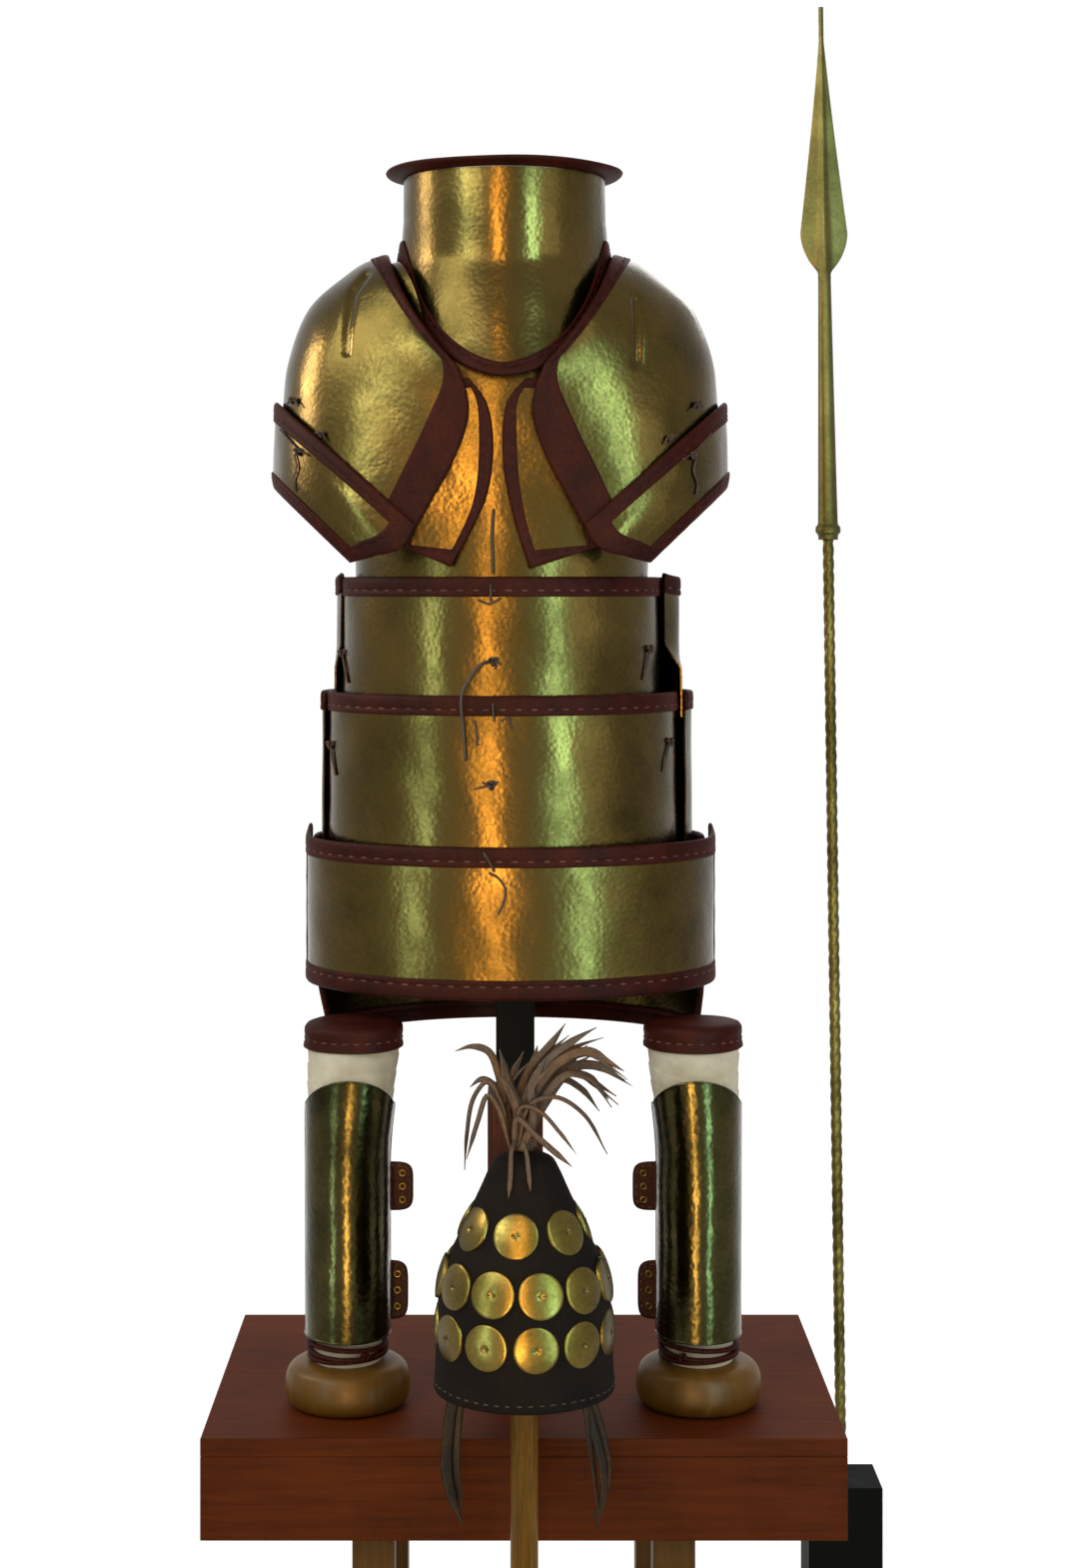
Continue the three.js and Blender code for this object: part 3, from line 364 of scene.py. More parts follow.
bronze = hammeredBronze()
greaveMetal = hammeredBronze("greaveBronze", {
    **bronzeLook, "dent": 6.5, "dentHeight": 0.045,
    "bright": "#3E3820", "mid": "#2C2815", "tarnish": "#18150A", "rough": 0.15})
spearMetal = hammeredBronze("castBronzeDull", {
    **bronzeLook, "dent": 30.0, "dentHeight": 0.004, "waveHeight": 0.5,
    "bright": "#5C5530", "mid": "#4A4426", "tarnish": "#332F16", "rough": 0.42})
shaftMetal = hammeredBronze("twistedBronzeRod", {
    **bronzeLook, "dent": 30.0, "dentHeight": 0.002, "waveHeight": 0.3,
    "bright": "#625830", "mid": "#484020", "tarnish": "#2A240F", "rough": 0.4})
discMetal = hammeredBronze("pressedBronzeDisc", {
    **bronzeLook, "dent": 8.0, "dentHeight": 0.02, "waveHeight": 0.5,
    "bright": "#66552A", "mid": "#50431D", "tarnish": "#30270F", "rough": 0.26})
redHide = leather("maroonCowhide", "#220603", "#380D06", "#4C170B", gloss=0.05)
capHide = leather("nearBlackCowhide", "#090504", "#120B08", "#1E130D", rough=0.75, gloss=0.05)
stripHide = leather("brownRawhideStrips", "#2A190A", "#482C14", "#684722", gloss=0.25)
thong = leather("brownLeatherThong", "#1C0D07", "#351C10", "#523220", grain=1.2, gloss=0.25)
stitchThread = leather("waxedLinenThread", "#512A20", "#6E4032", "#8E5F4A", grain=0.8, rough=0.7,
                       gloss=0.15)
darkThread = leather("waxedBrownThread", "#2E1210", "#451E1A", "#5E2E26", grain=0.8, rough=0.7, gloss=0.08)
strapHide = leather("darkBrownStrap", "#140C06", "#2A1B0E", "#443018", gloss=0.1)
flapHide = leather("darkRedBrownFlap", "#200A06", "#37120A", "#4E1E10", gloss=0.1)
linen = cloth("woundUnbleachedLinen", "#CFC3A2", "#F0E6CA", 1.5)
redPaint = paint("redBrownPaintedBoard", "#4A1C06", "#6E300C", "X", 0.6, 0.04)
legPaint = paint("ochrePaintedLeg", "#50340E", "#6A471A", "Z", 0.5, 0.08)
sleeveWood = wood("redBrownStainedPine", "#2E1108", "#4A1E0E", "#6B3016", gloss=0.08)
blackPaint = paint("blackPaintedBoard", "#040303", "#0C0A08", "Z", 0.6, 0.04)
paleWood = wood("paleCarvedLime", "#5E421A", "#8C642A", "#AF863E", "X", gloss=0.12)
poleWood = wood("varnishedAsh", "#553808", "#734E0F", "#92691B", "Z", 0.38, gloss=0.1)
footWood = wood("turnedLime", "#5E3F10", "#704C16", "#825A1E", "Z", 0.4, 40.0, 0.12)
addFreeLaces(thong)
print("cords and materials made")


# Sheets of metal on a surface, and hide folded over their edges

sheet = {"thick": 2.0, "waveHigh": 0.45, "wavePitch": 75.0}
# What the plain solids use: half a binding's thickness, the gap between two that touch, the seam under
# a binding and the room under an arm guard
solid = {"bindingHalf": 3.5, "gap": 0.3, "seam": 0.5, "armPlay": 1.6}
hide = {"wide": 22.0, "widest": 31.0, "half": 3.4, "stitchRowShare": 0.33}
stitch = {"pitch": 18.0, "long": 9.5, "thick": 1.15, "rings": 5, "sides": 6}


def waver(points, high):
    # Slow unevenness of hand-raised sheet: the mean of three crossed sine waves of the position
    x, y, z = (points[..., k] / sheet["wavePitch"] * turnFull for k in range(3))
    return high / 3 * (np.sin(x + 0.7 * z) + np.sin(0.8 * z - 0.6 * y + 1.3)
                       + np.sin(0.9 * y + 0.5 * x + z * 0.4))


def sheetOf(name, surface, counts, body, slot, material, replaced=(), wraps=False,
            spans=((0, 1), (0, 1)), uneven=sheet["waveHigh"]):
    # Two layers half a thickness either side of the surface, joined round their edges
    nu, nv = counts
    u = np.linspace(*spans[0], nu, endpoint=not wraps)
    v = np.linspace(*spans[1], nv)
    v, u = np.meshgrid(v, u, indexing="ij")
    middle = surface(u, v)
    normal = normalsOf(getattr(surface, "smooth", surface), u, v)
    middle = middle + normal * waver(middle, uneven)[..., None]
    layers = [middle + normal * sheet["thick"] / 2 * sign for sign in (1, -1)]
    points = np.concatenate([layer.reshape(-1, 3) for layer in layers])
    each = nu * nv
    front = gridFaces(nv, nu, wrapColumns=wraps)
    faces = [front, front[:, ::-1] + each]
    rows = np.arange(nu if wraps else nu - 1)
    for row, way in ((0, 1), (nv - 1, -1)):
        a, b = row * nu + rows, row * nu + (rows + 1) % nu
        strip = stacked(b, a, a + each, b + each)
        faces.append(strip[:, ::way])
    if not wraps:
        lines = np.arange(nv - 1)
        for column, way in ((0, 1), (nu - 1, -1)):
            a, b = lines * nu + column, (lines + 1) * nu + column
            strip = stacked(a, b, b + each, a + each)
            faces.append(strip[:, ::way])
    return newMesh(name, points, np.vstack(faces), body, slot, material, replaced, 60)


def edgePath(folds, counts, sides="top", soften=0):
    # Stations along a sheet's edge in (u, v), and the line where the fold ends, held inside the
    # inner rectangle so that corners are mitred; folds are the four fold widths in u and v
    u0, u1, v0, v1 = folds
    nu, nv = counts
    s, t = np.linspace(0, 1, nu), np.linspace(0, 1, nv)
    if sides == "top":
        outer = stacked(s, 0)
        inner = stacked(s, v0)
        return outer, inner
    outer = np.vstack([stacked(s, 0)[:-1], stacked(1, t)[:-1], stacked(s[::-1], 1)[:-1],
                       stacked(0, t[::-1])[:-1]])
    inner = stacked(np.clip(outer[:, 0], u0, 1 - u1), np.clip(outer[:, 1], v0, 1 - v1))
    # The inner line's corners are rounded by a running mean along it
    inner = np.mean([np.roll(inner, k, axis=0) for k in range(-soften, soften + 1)], axis=0)
    return outer, inner


# The fold's section: how far along from its inner line, as a share of the fold, and how high as a
# share of half the leather's thickness, with the sunk stitching line a third of the way out
foldShares = np.array([
    [0.0, 0.28], [0.02, 0.72], [0.07, 0.93], [0.18, 0.97], [0.27, 0.86], [0.33, 0.66], [0.39, 0.86],
    [0.5, 0.97], [0.68, 1.0], [0.86, 0.96], [0.96, 0.78], [1.03, 0.45], [1.05, 0.0]])


def foldFrame(surface, outer, inner):
    smooth = getattr(surface, "smooth", surface)
    edge, back = surface(outer[:, 0], outer[:, 1]), surface(inner[:, 0], inner[:, 1])
    nEdge = normalsOf(smooth, outer[:, 0], outer[:, 1])
    nBack = normalsOf(smooth, inner[:, 0], inner[:, 1])
    return edge, back, nEdge, nBack


def hideOver(name, surface, stations, closed, body, replaced=(), half=hide["half"],
             stitchPitch=stitch["pitch"], facing=1.0, thread=None):
    # The section above is carried round the edge: each point is the fold line plus its share of the
    # way to the edge, plus its height along the sheet's own normal, on both faces
    outer, inner = stations
    edge, back, nEdge, nBack = foldFrame(surface, outer, inner)
    run = foldShares[:, 0][None, :, None]
    high = foldShares[:, 1][None, :, None] * half
    along = back[:, None] + (edge - back)[:, None] * run
    normal = unit(nBack[:, None] + (nEdge - nBack)[:, None] * np.minimum(run, 1))
    rough = 1 + 0.05 * np.sin(along[..., :1] * 0.21 + along[..., 2:] * 0.17)
    top = along + normal * high * rough
    low = (along - normal * high * rough)[:, -2::-1]
    ring = np.concatenate([top, low], axis=1)
    points, faces = closedRings(ring)
    if closed:
        points, faces = ring.reshape(-1, 3), gridFaces(*ring.shape[:2], True, True)
    newMesh(name, points, faces, body, "leather_binding", redHide, replaced)
    addStitches(name + "Stitches", back + (edge - back) * hide["stitchRowShare"],
                unit(nBack * 0.67 + nEdge * 0.33) * facing, half * 0.72, closed, body, stitchPitch,
                material=thread)


def addStitches(name, line, normal, lift, closed, body, pitch=stitch["pitch"], long=stitch["long"],
                thick=stitch["thick"], material=None):
    # Running stitches: one bead for each, an ellipsoid stretched along the line, bowed down at its ends
    if closed:
        line, normal = np.vstack([line, line[:1]]), np.vstack([normal, normal[:1]])
    run = runOf(line)
    count = max(2, int(run[-1] / pitch))
    middles = (np.arange(count) + 0.5) * run[-1] / count
    rings, sides = stitch["rings"], stitch["sides"]
    s = np.linspace(-1, 1, rings)
    angle = np.arange(sides) / sides * turnFull
    places = np.clip(middles[:, None] + s[None] * long / 2, 0, run[-1])
    centre = sampleOf(line, run, places)
    up = unit(sampleOf(normal, run, places))
    before, after = (np.clip(middles + step, 0, run[-1]) for step in (-1, 1))
    tangent = unit(sampleOf(line, run, after) - sampleOf(line, run, before))
    side = unit(np.cross(tangent[:, None], up))
    centre = centre + up * (lift - 0.8 * s[None, :, None] ** 4)
    girth = thick * np.sqrt(np.maximum(0, 1 - 0.96 * s ** 4))[None, :, None, None]
    ring = centre[:, :, None] + girth * (np.cos(angle)[None, None, :, None] * side[:, :, None]
                                         + np.sin(angle)[None, None, :, None] * up[:, :, None])
    each = rings * sides
    points = ring.reshape(-1, 3)
    face = [gridFaces(rings, sides, wrapColumns=True)]
    cap = [[0, sides - 1, sides - 2, 1], [1, sides - 2, sides - 3, 2]]
    far = (rings - 1) * sides
    face.append(np.array(cap))
    face.append(np.array([[far + c for c in row[::-1]] for row in cap]))
    face = np.vstack(face)
    faces = (face[None] + (np.arange(count) * each)[:, None, None]).reshape(-1, 4)
    return newMesh(name, points, faces, body, "lacing", material or stitchThread)


# Skirt bands: half ovals with straight flare, the lowest ones bound all round

bands = {"top": [1366, 1230, 1058], "foot": [1200, 1030, 887], "depth": 146.0, "flare": [4, 5, 5],
         "room": 0.7, "lap": np.radians(6), "cornerShare": 0.55,
         "front": {"x": [-9, -7, 2.5], "halfWidth": [187, 207, 242.5], "widen": [3, 2, 0],
                   "ear": [0, 0, 11]},
         "back": {"x": [-0.3, -1, 0.5], "halfWidth": [207, 222.5, 231.5], "widen": [1, 1, 0],
                  "ear": [5, 0, 0]},
         "hip": {"foot": 812, "taperFrom": 935, "narrowing": 16, "shift": 6, "tuck": 8},
         # How far the two ends of the back bands lean in toward the front ones, left and right, and
         # the height under which they stay out of the way of the front band that slides there
         "lean": [[7, 20], [2, 10], [0, 0]], "leanFrom": 0.86, "leanFoot": [1259, 1000, 0], "leanFade": 28}


def bandSurface(side, level):
    # x = middle + half width times the sine of the turn, y = half depth times its cosine
    own, hip = bands[side], bands["hip"]
    facing = -1 if side == "front" else 1
    touch = sheet["thick"] / 2 + solid["gap"] + bands["room"] + solid["bindingHalf"]
    depth = bands["depth"] + (bands["room"] if facing > 0 else 0)
    for k in range(level):
        share = (bands["top"][k] - bands["top"][k + 1]) / (bands["top"][k] - bands["foot"][k])
        depth += bands["flare"][k] * share + touch
    long = facing > 0 and level == 2
    foot = hip["foot"] if long else bands["foot"][level]
    top = bands["top"][level]
    cornerV = hide["wide"] / (top - foot)
    cornerU = hide["wide"] / (own["halfWidth"][level] * np.pi)

    def smooth(u, v):
        end = np.abs(2 * u - 1)
        start = top + own["ear"][level] * end ** 16
        z = start + (foot - start) * v
        low = np.maximum(0, (hip["taperFrom"] - z) / (hip["taperFrom"] - foot)) if long else 0 * z
        halfWidth = own["halfWidth"][level] + own["widen"][level] * v - hip["narrowing"] * low ** 2
        halfDepth = depth + bands["flare"][level] * v - hip["tuck"] * low ** 2
        turn = (u - 0.5) * (np.pi + 2 * bands["lap"])
        if facing > 0:
            bent = np.maximum(0, (end - bands["leanFrom"]) / (1 - bands["leanFrom"])) ** 1.3
            bent = bent * np.clip((z - bands["leanFoot"][level]) / bands["leanFade"], 0, 1)
            halfWidth = halfWidth - np.where(u < 0.5, *bands["lean"][level]) * bent
        return stacked(own["x"][level] + hip["shift"] * low + halfWidth * np.sin(turn),
                       facing * halfDepth * np.cos(turn), z)

    def surface(u, v):
        if level < 2:
            return smooth(u, v)
        nearU = np.maximum(0, 1 - np.minimum(u, 1 - u) / cornerU)
        nearV = np.maximum(0, 1 - (1 - v) / cornerV)
        pull = bands["cornerShare"] * nearU * nearV
        return smooth(u + np.where(u < 0.5, 1, -1) * cornerU * pull, v - cornerV * pull)

    surface.smooth = smooth
    surface.height = top - foot
    surface.round = own["halfWidth"][level] * np.pi
    return surface


def addBands():
    for side in ("front", "back"):
        for level in range(3):
            surface = bandSurface(side, level)
            body = "stand" if level == 0 else f"{side}_skirt_{level + 1}"
            sheetOf(f"{side}Band{level + 1}", surface, (121, 33), body, "bronze", bronze,
                    [f"{side}_band_{level + 1}"])
            bound = level == 2
            foldV, foldU = hide["wide"] / surface.height, hide["wide"] / surface.round
            stations = edgePath((foldU, foldU, foldV, foldV), (131, 27), "round" if bound else "top")
            hideOver(f"{side}BandHide{level + 1}", surface, stations, bound, body,
                     replaced=[f"{side}_band_binding_{level + 1}"], facing=1.0 if side == "back" else -1.0)


# Collar: an oval tube cut to a point in front, with a turned rim of hide

collar = {"x": -5.0, "halfWidth": 120.0, "halfDepth": 112.0, "top": 1842.0, "drop": 141.0, "backDrop": 80.0,
          "flatShare": 0.25, "spreadX": 20.0, "spreadY": 42.0, "hide": 14.0, "hideSide": 16.0,
          "flare": 7.0, "side": 1738.2,
          "rimReach": 21.0, "rimRise": 5.0, "rimThick": 5.0, "stitchOut": 15, "stitchUp": 2.2,
          "stitchPitch": 15.0}


def collarSurface():
    c = collar

    def surface(u, v):
        # v runs from 0 at the lower edge, over 1 at the fold's inner line, to 2 at the rim
        turn = turnFull * u
        ahead = np.cos(turn)
        reach = np.maximum(0, np.abs(ahead) - c["flatShare"]) / (1 - c["flatShare"])
        dip = np.where(ahead > 0, c["drop"], c["backDrop"]) * reach ** 1.15
        low = c["side"] - dip
        # The hide is wider where the edge runs steeply, and the tube flares a little under it there
        steep = np.sin(turn) ** 2
        hide = c["hide"] + c["hideSide"] * np.abs(np.sin(turn))
        z = np.where(v <= 1, low + hide * v, low + hide + (c["top"] - low - hide) * (v - 1))
        spread = np.maximum(0, (c["side"] - z) / c["drop"])
        flare = c["flare"] * steep * np.maximum(0, 1 - v / 1.3) ** 0.8
        return stacked(c["x"] + (c["halfWidth"] + c["spreadX"] * spread + flare) * np.sin(turn),
                       -(c["halfDepth"] + c["spreadY"] * spread) * ahead, z)
    return surface


def addCollar():
    c = collar
    surface = collarSurface()
    sheetOf("gorgetTube", surface, (144, 40), "gorget", "bronze", bronze, ["collar"], wraps=True,
            spans=((0, 1), (0.0, 2)))
    u = np.linspace(0, 1, 144, endpoint=False)
    stations = (stacked(u, 0), stacked(u, 1))
    hideOver("gorgetHide", surface, stations, True, "gorget", replaced=["collar_binding"], stitchPitch=15.0,
             thread=darkThread)
    # Turned rim: a ring whose section is a soft lip, thicker at its outer edge
    share = np.array([[-0.1, -0.45], [0.2, -0.5], [0.6, -0.42], [0.9, -0.5], [1.02, -0.3], [1.06, 0.0],
                      [1.02, 0.34], [0.9, 0.5], [0.6, 0.42], [0.2, 0.5], [-0.1, 0.45]])
    turn = turnFull * np.arange(144)[:, None] / 144
    reach = c["rimReach"] * share[None, :, 0]
    lift = c["rimRise"] * np.maximum(share[None, :, 0], 0) ** 2 + c["rimThick"] * share[None, :, 1] * 0.96
    wave = 0.5 * np.sin(turn * 5) * share[None, :, 0]
    points = stacked(c["x"] + (c["halfWidth"] + reach) * np.sin(turn),
                     -(c["halfDepth"] + reach) * np.cos(turn), c["top"] + solid["gap"]
                     + c["rimThick"] / 2 + lift + wave)
    newMesh("gorgetRim", points.reshape(-1, 3), gridFaces(144, len(share), True, True), "gorget",
            "leather_binding", redHide, ["collar_rim"])
    middle = stacked(c["x"] + (c["halfWidth"] + c["stitchOut"]) * np.sin(turn[:, 0]),
                     -(c["halfDepth"] + c["stitchOut"]) * np.cos(turn[:, 0]), c["top"] + solid["gap"]
                     + c["rimThick"] / 2 + c["stitchUp"])
    addStitches("gorgetRimStitches", middle, np.tile([0, 0, 1.0], (144, 1)), 2.4, True, "gorget", 15.0,
                material=darkThread)


# Shoulder guards and arm guards: two stretches of one bell-shaped surface

bell = {"x": -9.5, "halfWidth": 259.0, "top": 1750.3, "drop": 360.0, "depth": 150.6, "armFrom": 0.88,
        "armTo": 1.3, "creaseDepth": 4.6, "creaseWidth": 4.2, "neckline": 11.0, "hollowFade": 0.16,
        "creases": {-1: [[-167, 1722], [-182, 1700], [-187, 1655], [-188, 1626]],
                    1: [[148, 1690], [149, 1665], [149, 1640], [148, 1614]]}}
ridgeShares = [[0.52, 0], [0.637, 0.025], [0.741, 0.078], [0.869, 0.161], [0.938, 0.256],
               [0.985, 0.367], [1, 0.478], [1.008, 0.589], [1.012, 0.676], [1.015, 0.761]]
frontShares = [[0.193, 0.394], [0.154, 0.475], [0.147, 0.547], [0.178, 0.628], [0.232, 0.717],
               [0.301, 0.806], [0.371, 0.894], [0.432, 0.967], [0.548, 0.989], [0.649, 1.006]]
depthShares = [1, 1, 1, 1, 1, 1, 1, 1, 0.93, 0.82]
# How far the arm guard stands off the shoulder guard's surface, and the chest plate behind it
bell["armOffset"] = 2 * solid["bindingHalf"] + solid["gap"] + solid["armPlay"]
bell["chestFront"] = bell["depth"] - 2 * solid["bindingHalf"] - solid["gap"] - solid["seam"]


def knotsOf(shares, halfWidth, drop):
    return [[x * halfWidth, 0, -z * drop] for x, z in shares]


def bellSurface(side, start=0.0, end=1.0, offset=0.0, creased=True):
    # u turns a quarter circle forward or back from the ridge: the point slides from the ridge curve
    # to the front edge curve by one minus the cosine, and out in y by the sine times the depth
    ridge = knotsOf(ridgeShares, bell["halfWidth"], bell["drop"])
    front = knotsOf(frontShares, bell["halfWidth"], bell["drop"])
    depths = [[k, share * bell["depth"], 0] for k, share in enumerate(depthShares)]
    line = np.array(bell["creases"][side])

    def base(u, v):
        s = np.clip((start + (end - start) * v) / bell["armTo"], 0, 1)
        top, edge = alongCurve(ridge, s), alongCurve(front, s)
        turn = np.pi * (u - 0.5)
        reach = (1 - np.cos(turn))[..., None]
        p = top + (edge - top) * reach
        # The edge beside the collar is cut back in a hollow curve, which fades down the guard
        fade = np.exp(-(s * bell["armTo"] / bell["hollowFade"]) ** 2)
        hollow = bell["neckline"] * np.sin(np.pi * np.clip(reach[..., 0], 0, 1)) * fade
        p = p + hollow[..., None] * np.array([0.8, 0.0, -0.45])
        y = np.sin(turn) * alongCurve(depths, s)[..., 1]
        return stacked(bell["x"] + side * p[..., 0], y, bell["top"] + p[..., 2])

    def surface(u, v):
        # The crease is a groove: its depth falls off as a bell curve of the distance to its line
        p = base(u, v)
        normal = normalsOf(base, u, v) * -side
        push = np.zeros(np.shape(u)) + offset
        if creased:
            lift = np.zeros(np.shape(u))
            for a, b in zip(line[:-1], line[1:]):
                ab = b - a
                q = stacked(p[..., 0], p[..., 2]) - a
                t = np.clip((q @ ab) / (ab @ ab), 0, 1)
                d = np.linalg.norm(q - t[..., None] * ab, axis=-1)
                lift = np.maximum(lift, np.exp(-(d / bell["creaseWidth"]) ** 2))
            push = push - bell["creaseDepth"] * lift * (p[..., 1] < 30)
        return p + normal * push[..., None]

    return surface


def addShoulders():
    for hand, side in (("left", -1), ("right", 1)):
        foldU = hide["widest"] / (bell["halfWidth"] * 2)
        guard = bellSurface(side)
        foldV = hide["wide"] / bell["halfWidth"] * 1.15
        body = f"{hand}_pauldron"
        sheetOf(f"{hand}ShoulderGuard", guard, (151, 91), body, "bronze", bronze,
                [f"{hand}_shoulder_guard"])
        hideOver(f"{hand}ShoulderHide", guard,
                 edgePath((foldU, foldU, foldV, foldV), (121, 81), "round", 9), True, body,
                 replaced=[f"{hand}_shoulder_binding"], facing=-side, thread=darkThread)
        arm = bellSurface(side, bell["armFrom"], bell["armTo"], bell["armOffset"], creased=False)
        foldV = hide["wide"] / (bell["drop"] * (bell["armTo"] - bell["armFrom"])) * 1.3
        foldU = hide["wide"] / (bell["halfWidth"] * 2)
        sheetOf(f"{hand}ArmGuard", arm, (121, 41), f"{hand}_arm", "bronze", bronze, [f"{hand}_arm_guard"])
        hideOver(f"{hand}ArmHide", arm, edgePath((foldU, foldU, foldV, foldV), (121, 35), "round"), True,
                 f"{hand}_arm", replaced=[f"{hand}_arm_binding"], facing=-side, thread=darkThread)


# Chest plates: pointed leaves bound in hide

chest = {"top": 1592.0, "height": 215.0, "halfSpan": 118.0, "bow": 9.0, "hide": 13.0}
chestInner = {-1: [[0.3, -0.01], [0.145, 0.11], [0.085, 0.26], [0.085, 0.45], [0.147, 0.63],
                   [0.28, 0.79], [0.48, 0.99]],
              1: [[0.25, -0.01], [0.075, 0.11], [0.03, 0.26], [0.035, 0.45], [0.09, 0.63],
                  [0.165, 0.79], [0.29, 1]]}
chestOuter = [[0.52, 0], [0.8, 0.15], [1, 0.47], [1, 0.7], [0.95, 0.84], [0.93, 0.89]]


def chestSurface(side):
    # A flat leaf between two curves, bowed back by the square of the distance from the middle
    inner = knotsOf(chestInner[side], chest["halfSpan"], chest["height"])
    outer = knotsOf(chestOuter, chest["halfSpan"], chest["height"])

    def surface(u, v):
        s = np.clip(v, 0, 1)
        a = alongCurve(inner, s)
        p = a + (alongCurve(outer, s) - a) * np.asarray(u)[..., None]
        bow = chest["bow"] * (p[..., 0] / chest["halfSpan"]) ** 2
        return stacked(bell["x"] + side * p[..., 0], -(bell["chestFront"] - bow), chest["top"] + p[..., 2])
    return surface


def addChestPlates():
    for hand, side in (("left", -1), ("right", 1)):
        surface = chestSurface(side)
        body, replaced = f"{hand}_pauldron", [f"{hand}_chest_plate"]
        sheetOf(f"{hand}ChestPlate", surface, (61, 81), body, "bronze", bronze, replaced,
                spans=((0.02, 0.98), (0.02, 0.98)))
        hideOver(f"{hand}ChestHide", surface, edgePath((0.14, 0.14, 0.07, 0.07), (41, 61), "round"), True,
                 body, replaced, half=3.2, stitchPitch=14.0, facing=-side, thread=darkThread)


addBands()
addCollar()
addShoulders()
addChestPlates()
print("bronze sheets and bindings made")


# Turned pieces, pads and ribbons

def latheOf(name, profile, centre, body, slot, material, replaced=(), sides=72, smooth=True, steps=6,
            bend=None):
    # The profile's radius and height are turned about the upright axis; it starts and ends on the axis
    profile = np.asarray(profile, dtype=float)
    if smooth:
        flat = stacked(profile[:, 0], 0, profile[:, 1])
        inner = alongCurve(flat[1:-1], np.linspace(0, 1, (len(flat) - 3) * steps + 1))
        profile = np.vstack([profile[:1], inner[:, [0, 2]], profile[-1:]])
    turn = np.arange(sides) / sides * turnFull
    r, z = profile[1:-1, 0][:, None], profile[1:-1, 1][:, None]
    ring = stacked(centre[0] + r * np.sin(turn), centre[1] - r * np.cos(turn), centre[2] + z)
    ends = np.array(centre) + [[0, 0, profile[0, 1]], [0, 0, profile[-1, 1]]]
    if bend is not None:
        ring, ends = bend(ring), bend(ends)
    newMesh(name, *closedRings(ring, ends), body, slot, material, replaced, 50)


# Legs: a wooden foot, a cloth-wound form, a hide cap, a greave and its fastenings

leg = {"spread": 203.0, "middle": 17.0, "y": -110.0, "foot": 413.3, "footHigh": 51.0, "footWide": 72.0,
       "ankle": 47.0, "outer": 46.0, "innerTop": 60.0, "deep": 50.0, "top": 850.0, "swellFrom": 690.0,
       "wrapPitch": 21.0, "wrapDepth": 1.5,
       # Heights and how far the cloth stands off the form there
       "cloth": [[464.7, -5.5], [489, -5.5], [517, 0], [690, 0], [826, 0], [844, -1.5], [849.8, -4.5]],
       # The cap from inside its skirt to its crown: distance off the form, and height
       "cap": [[0.6, 824.5], [0.5, 826], [3.2, 824.4], [5.2, 825.8], [5.0, 829], [3.6, 833], [3.5, 838],
               [4.1, 843], [3.8, 848], [1.0, 852], [-4, 853.8], [-14, 854.2], [-30, 854.4], [-44, 854.5]]}
# The turned foot's side from the floor up: radius and height as shares of its own
footShares = [[0.8, 0], [0.9, 0.04], [0.965, 0.14], [1, 0.3], [1, 0.56], [0.98, 0.7], [0.925, 0.85],
              [0.83, 0.945], [0.74, 0.98]]
greave = {"foot": 495.0, "height": 297.0, "wrap": 1.66, "out": 2.4, "arch": 38.0, "bead": 1.7}


def legPoint(side, turn, z, out):
    # An oval whose inner half widens above the knee by a smooth step
    share = np.clip((z - leg["swellFrom"]) / (leg["top"] - leg["swellFrom"]), 0, 1)
    inner = leg["outer"] + (leg["innerTop"] - leg["outer"]) * share * share * (3 - 2 * share)
    middle = leg["middle"] + side * leg["spread"] - side * (inner - leg["outer"]) / 2
    half = (inner + leg["outer"]) / 2
    return stacked(middle + (half + out) * np.sin(turn), leg["y"] - (leg["deep"] + out) * np.cos(turn), z)


def ringsClosed(name, rings, body, slot, material, replaced=(), sharp=55):
    newMesh(name, *closedRings(rings), body, slot, material, replaced, sharp)


def addLegForm(hand, side):
    # Cloth wound up the leg: each turn overlaps the last, a saw-tooth of the height along a tilted
    # wrap line, deepest under the turn's edge
    heights, off = np.array(leg["cloth"]).T
    z = np.linspace(heights[0], heights[-1], 230)[:, None]
    turn = (np.arange(96) / 96 * turnFull)[None]
    base = np.interp(z, heights, off)
    tilt = 6.0 * np.sin(turn + 0.6 * side) + 2.5 * np.sin(2 * turn + 1 + z / 60)
    phase = ((z + tilt) / leg["wrapPitch"]) % 1
    ridge = leg["wrapDepth"] * (phase ** 0.5 - 1) + 0.25 * np.sin(z / 9 + 3 * turn)
    loose = np.clip((z - 700) / 90, 0, 1) * 1.2
    rings = legPoint(side, turn + 0 * z, z + 0 * turn, base + ridge
                     + loose * (1 + 0.5 * np.sin(turn * 3 + z / 30)) * 0.6)
    ringsClosed(f"{hand}LegCloth", rings, "stand", "cloth", linen, [f"{hand}_leg_form"])


def addLegCap(hand, side):
    # A shallow hide cap: its skirt stands off the leg, its edge is rolled and its crown a soft dome
    steps = np.array(leg["cap"])
    turn = (np.arange(96) / 96 * turnFull)[None]
    wave = 0.5 * np.sin(3 * turn + side) + 0.35 * np.sin(5 * turn)
    rings = legPoint(side, turn + 0 * steps[:, :1], steps[:, 1:] + 0 * turn, steps[:, :1]
                     + wave * (steps[:, 1:] < 845))
    rings[..., 2] += 1.2 * np.sin(turn + side) * (steps[:, 1:] > 845)
    ringsClosed(f"{hand}LegCap", rings, "stand", "leather_binding", redHide, [f"{hand}_leg_cap"])
    line = legPoint(side, turn[0], np.full(96, 835.5), np.full(96, 3.3))
    centre = legPoint(side, turn[0], np.full(96, 835.5), np.full(96, -20.0))
    addStitches(f"{hand}LegCapStitches", line, unit(line - centre), 0.4, True, "stand", 13.0, 7.5, 1.0)


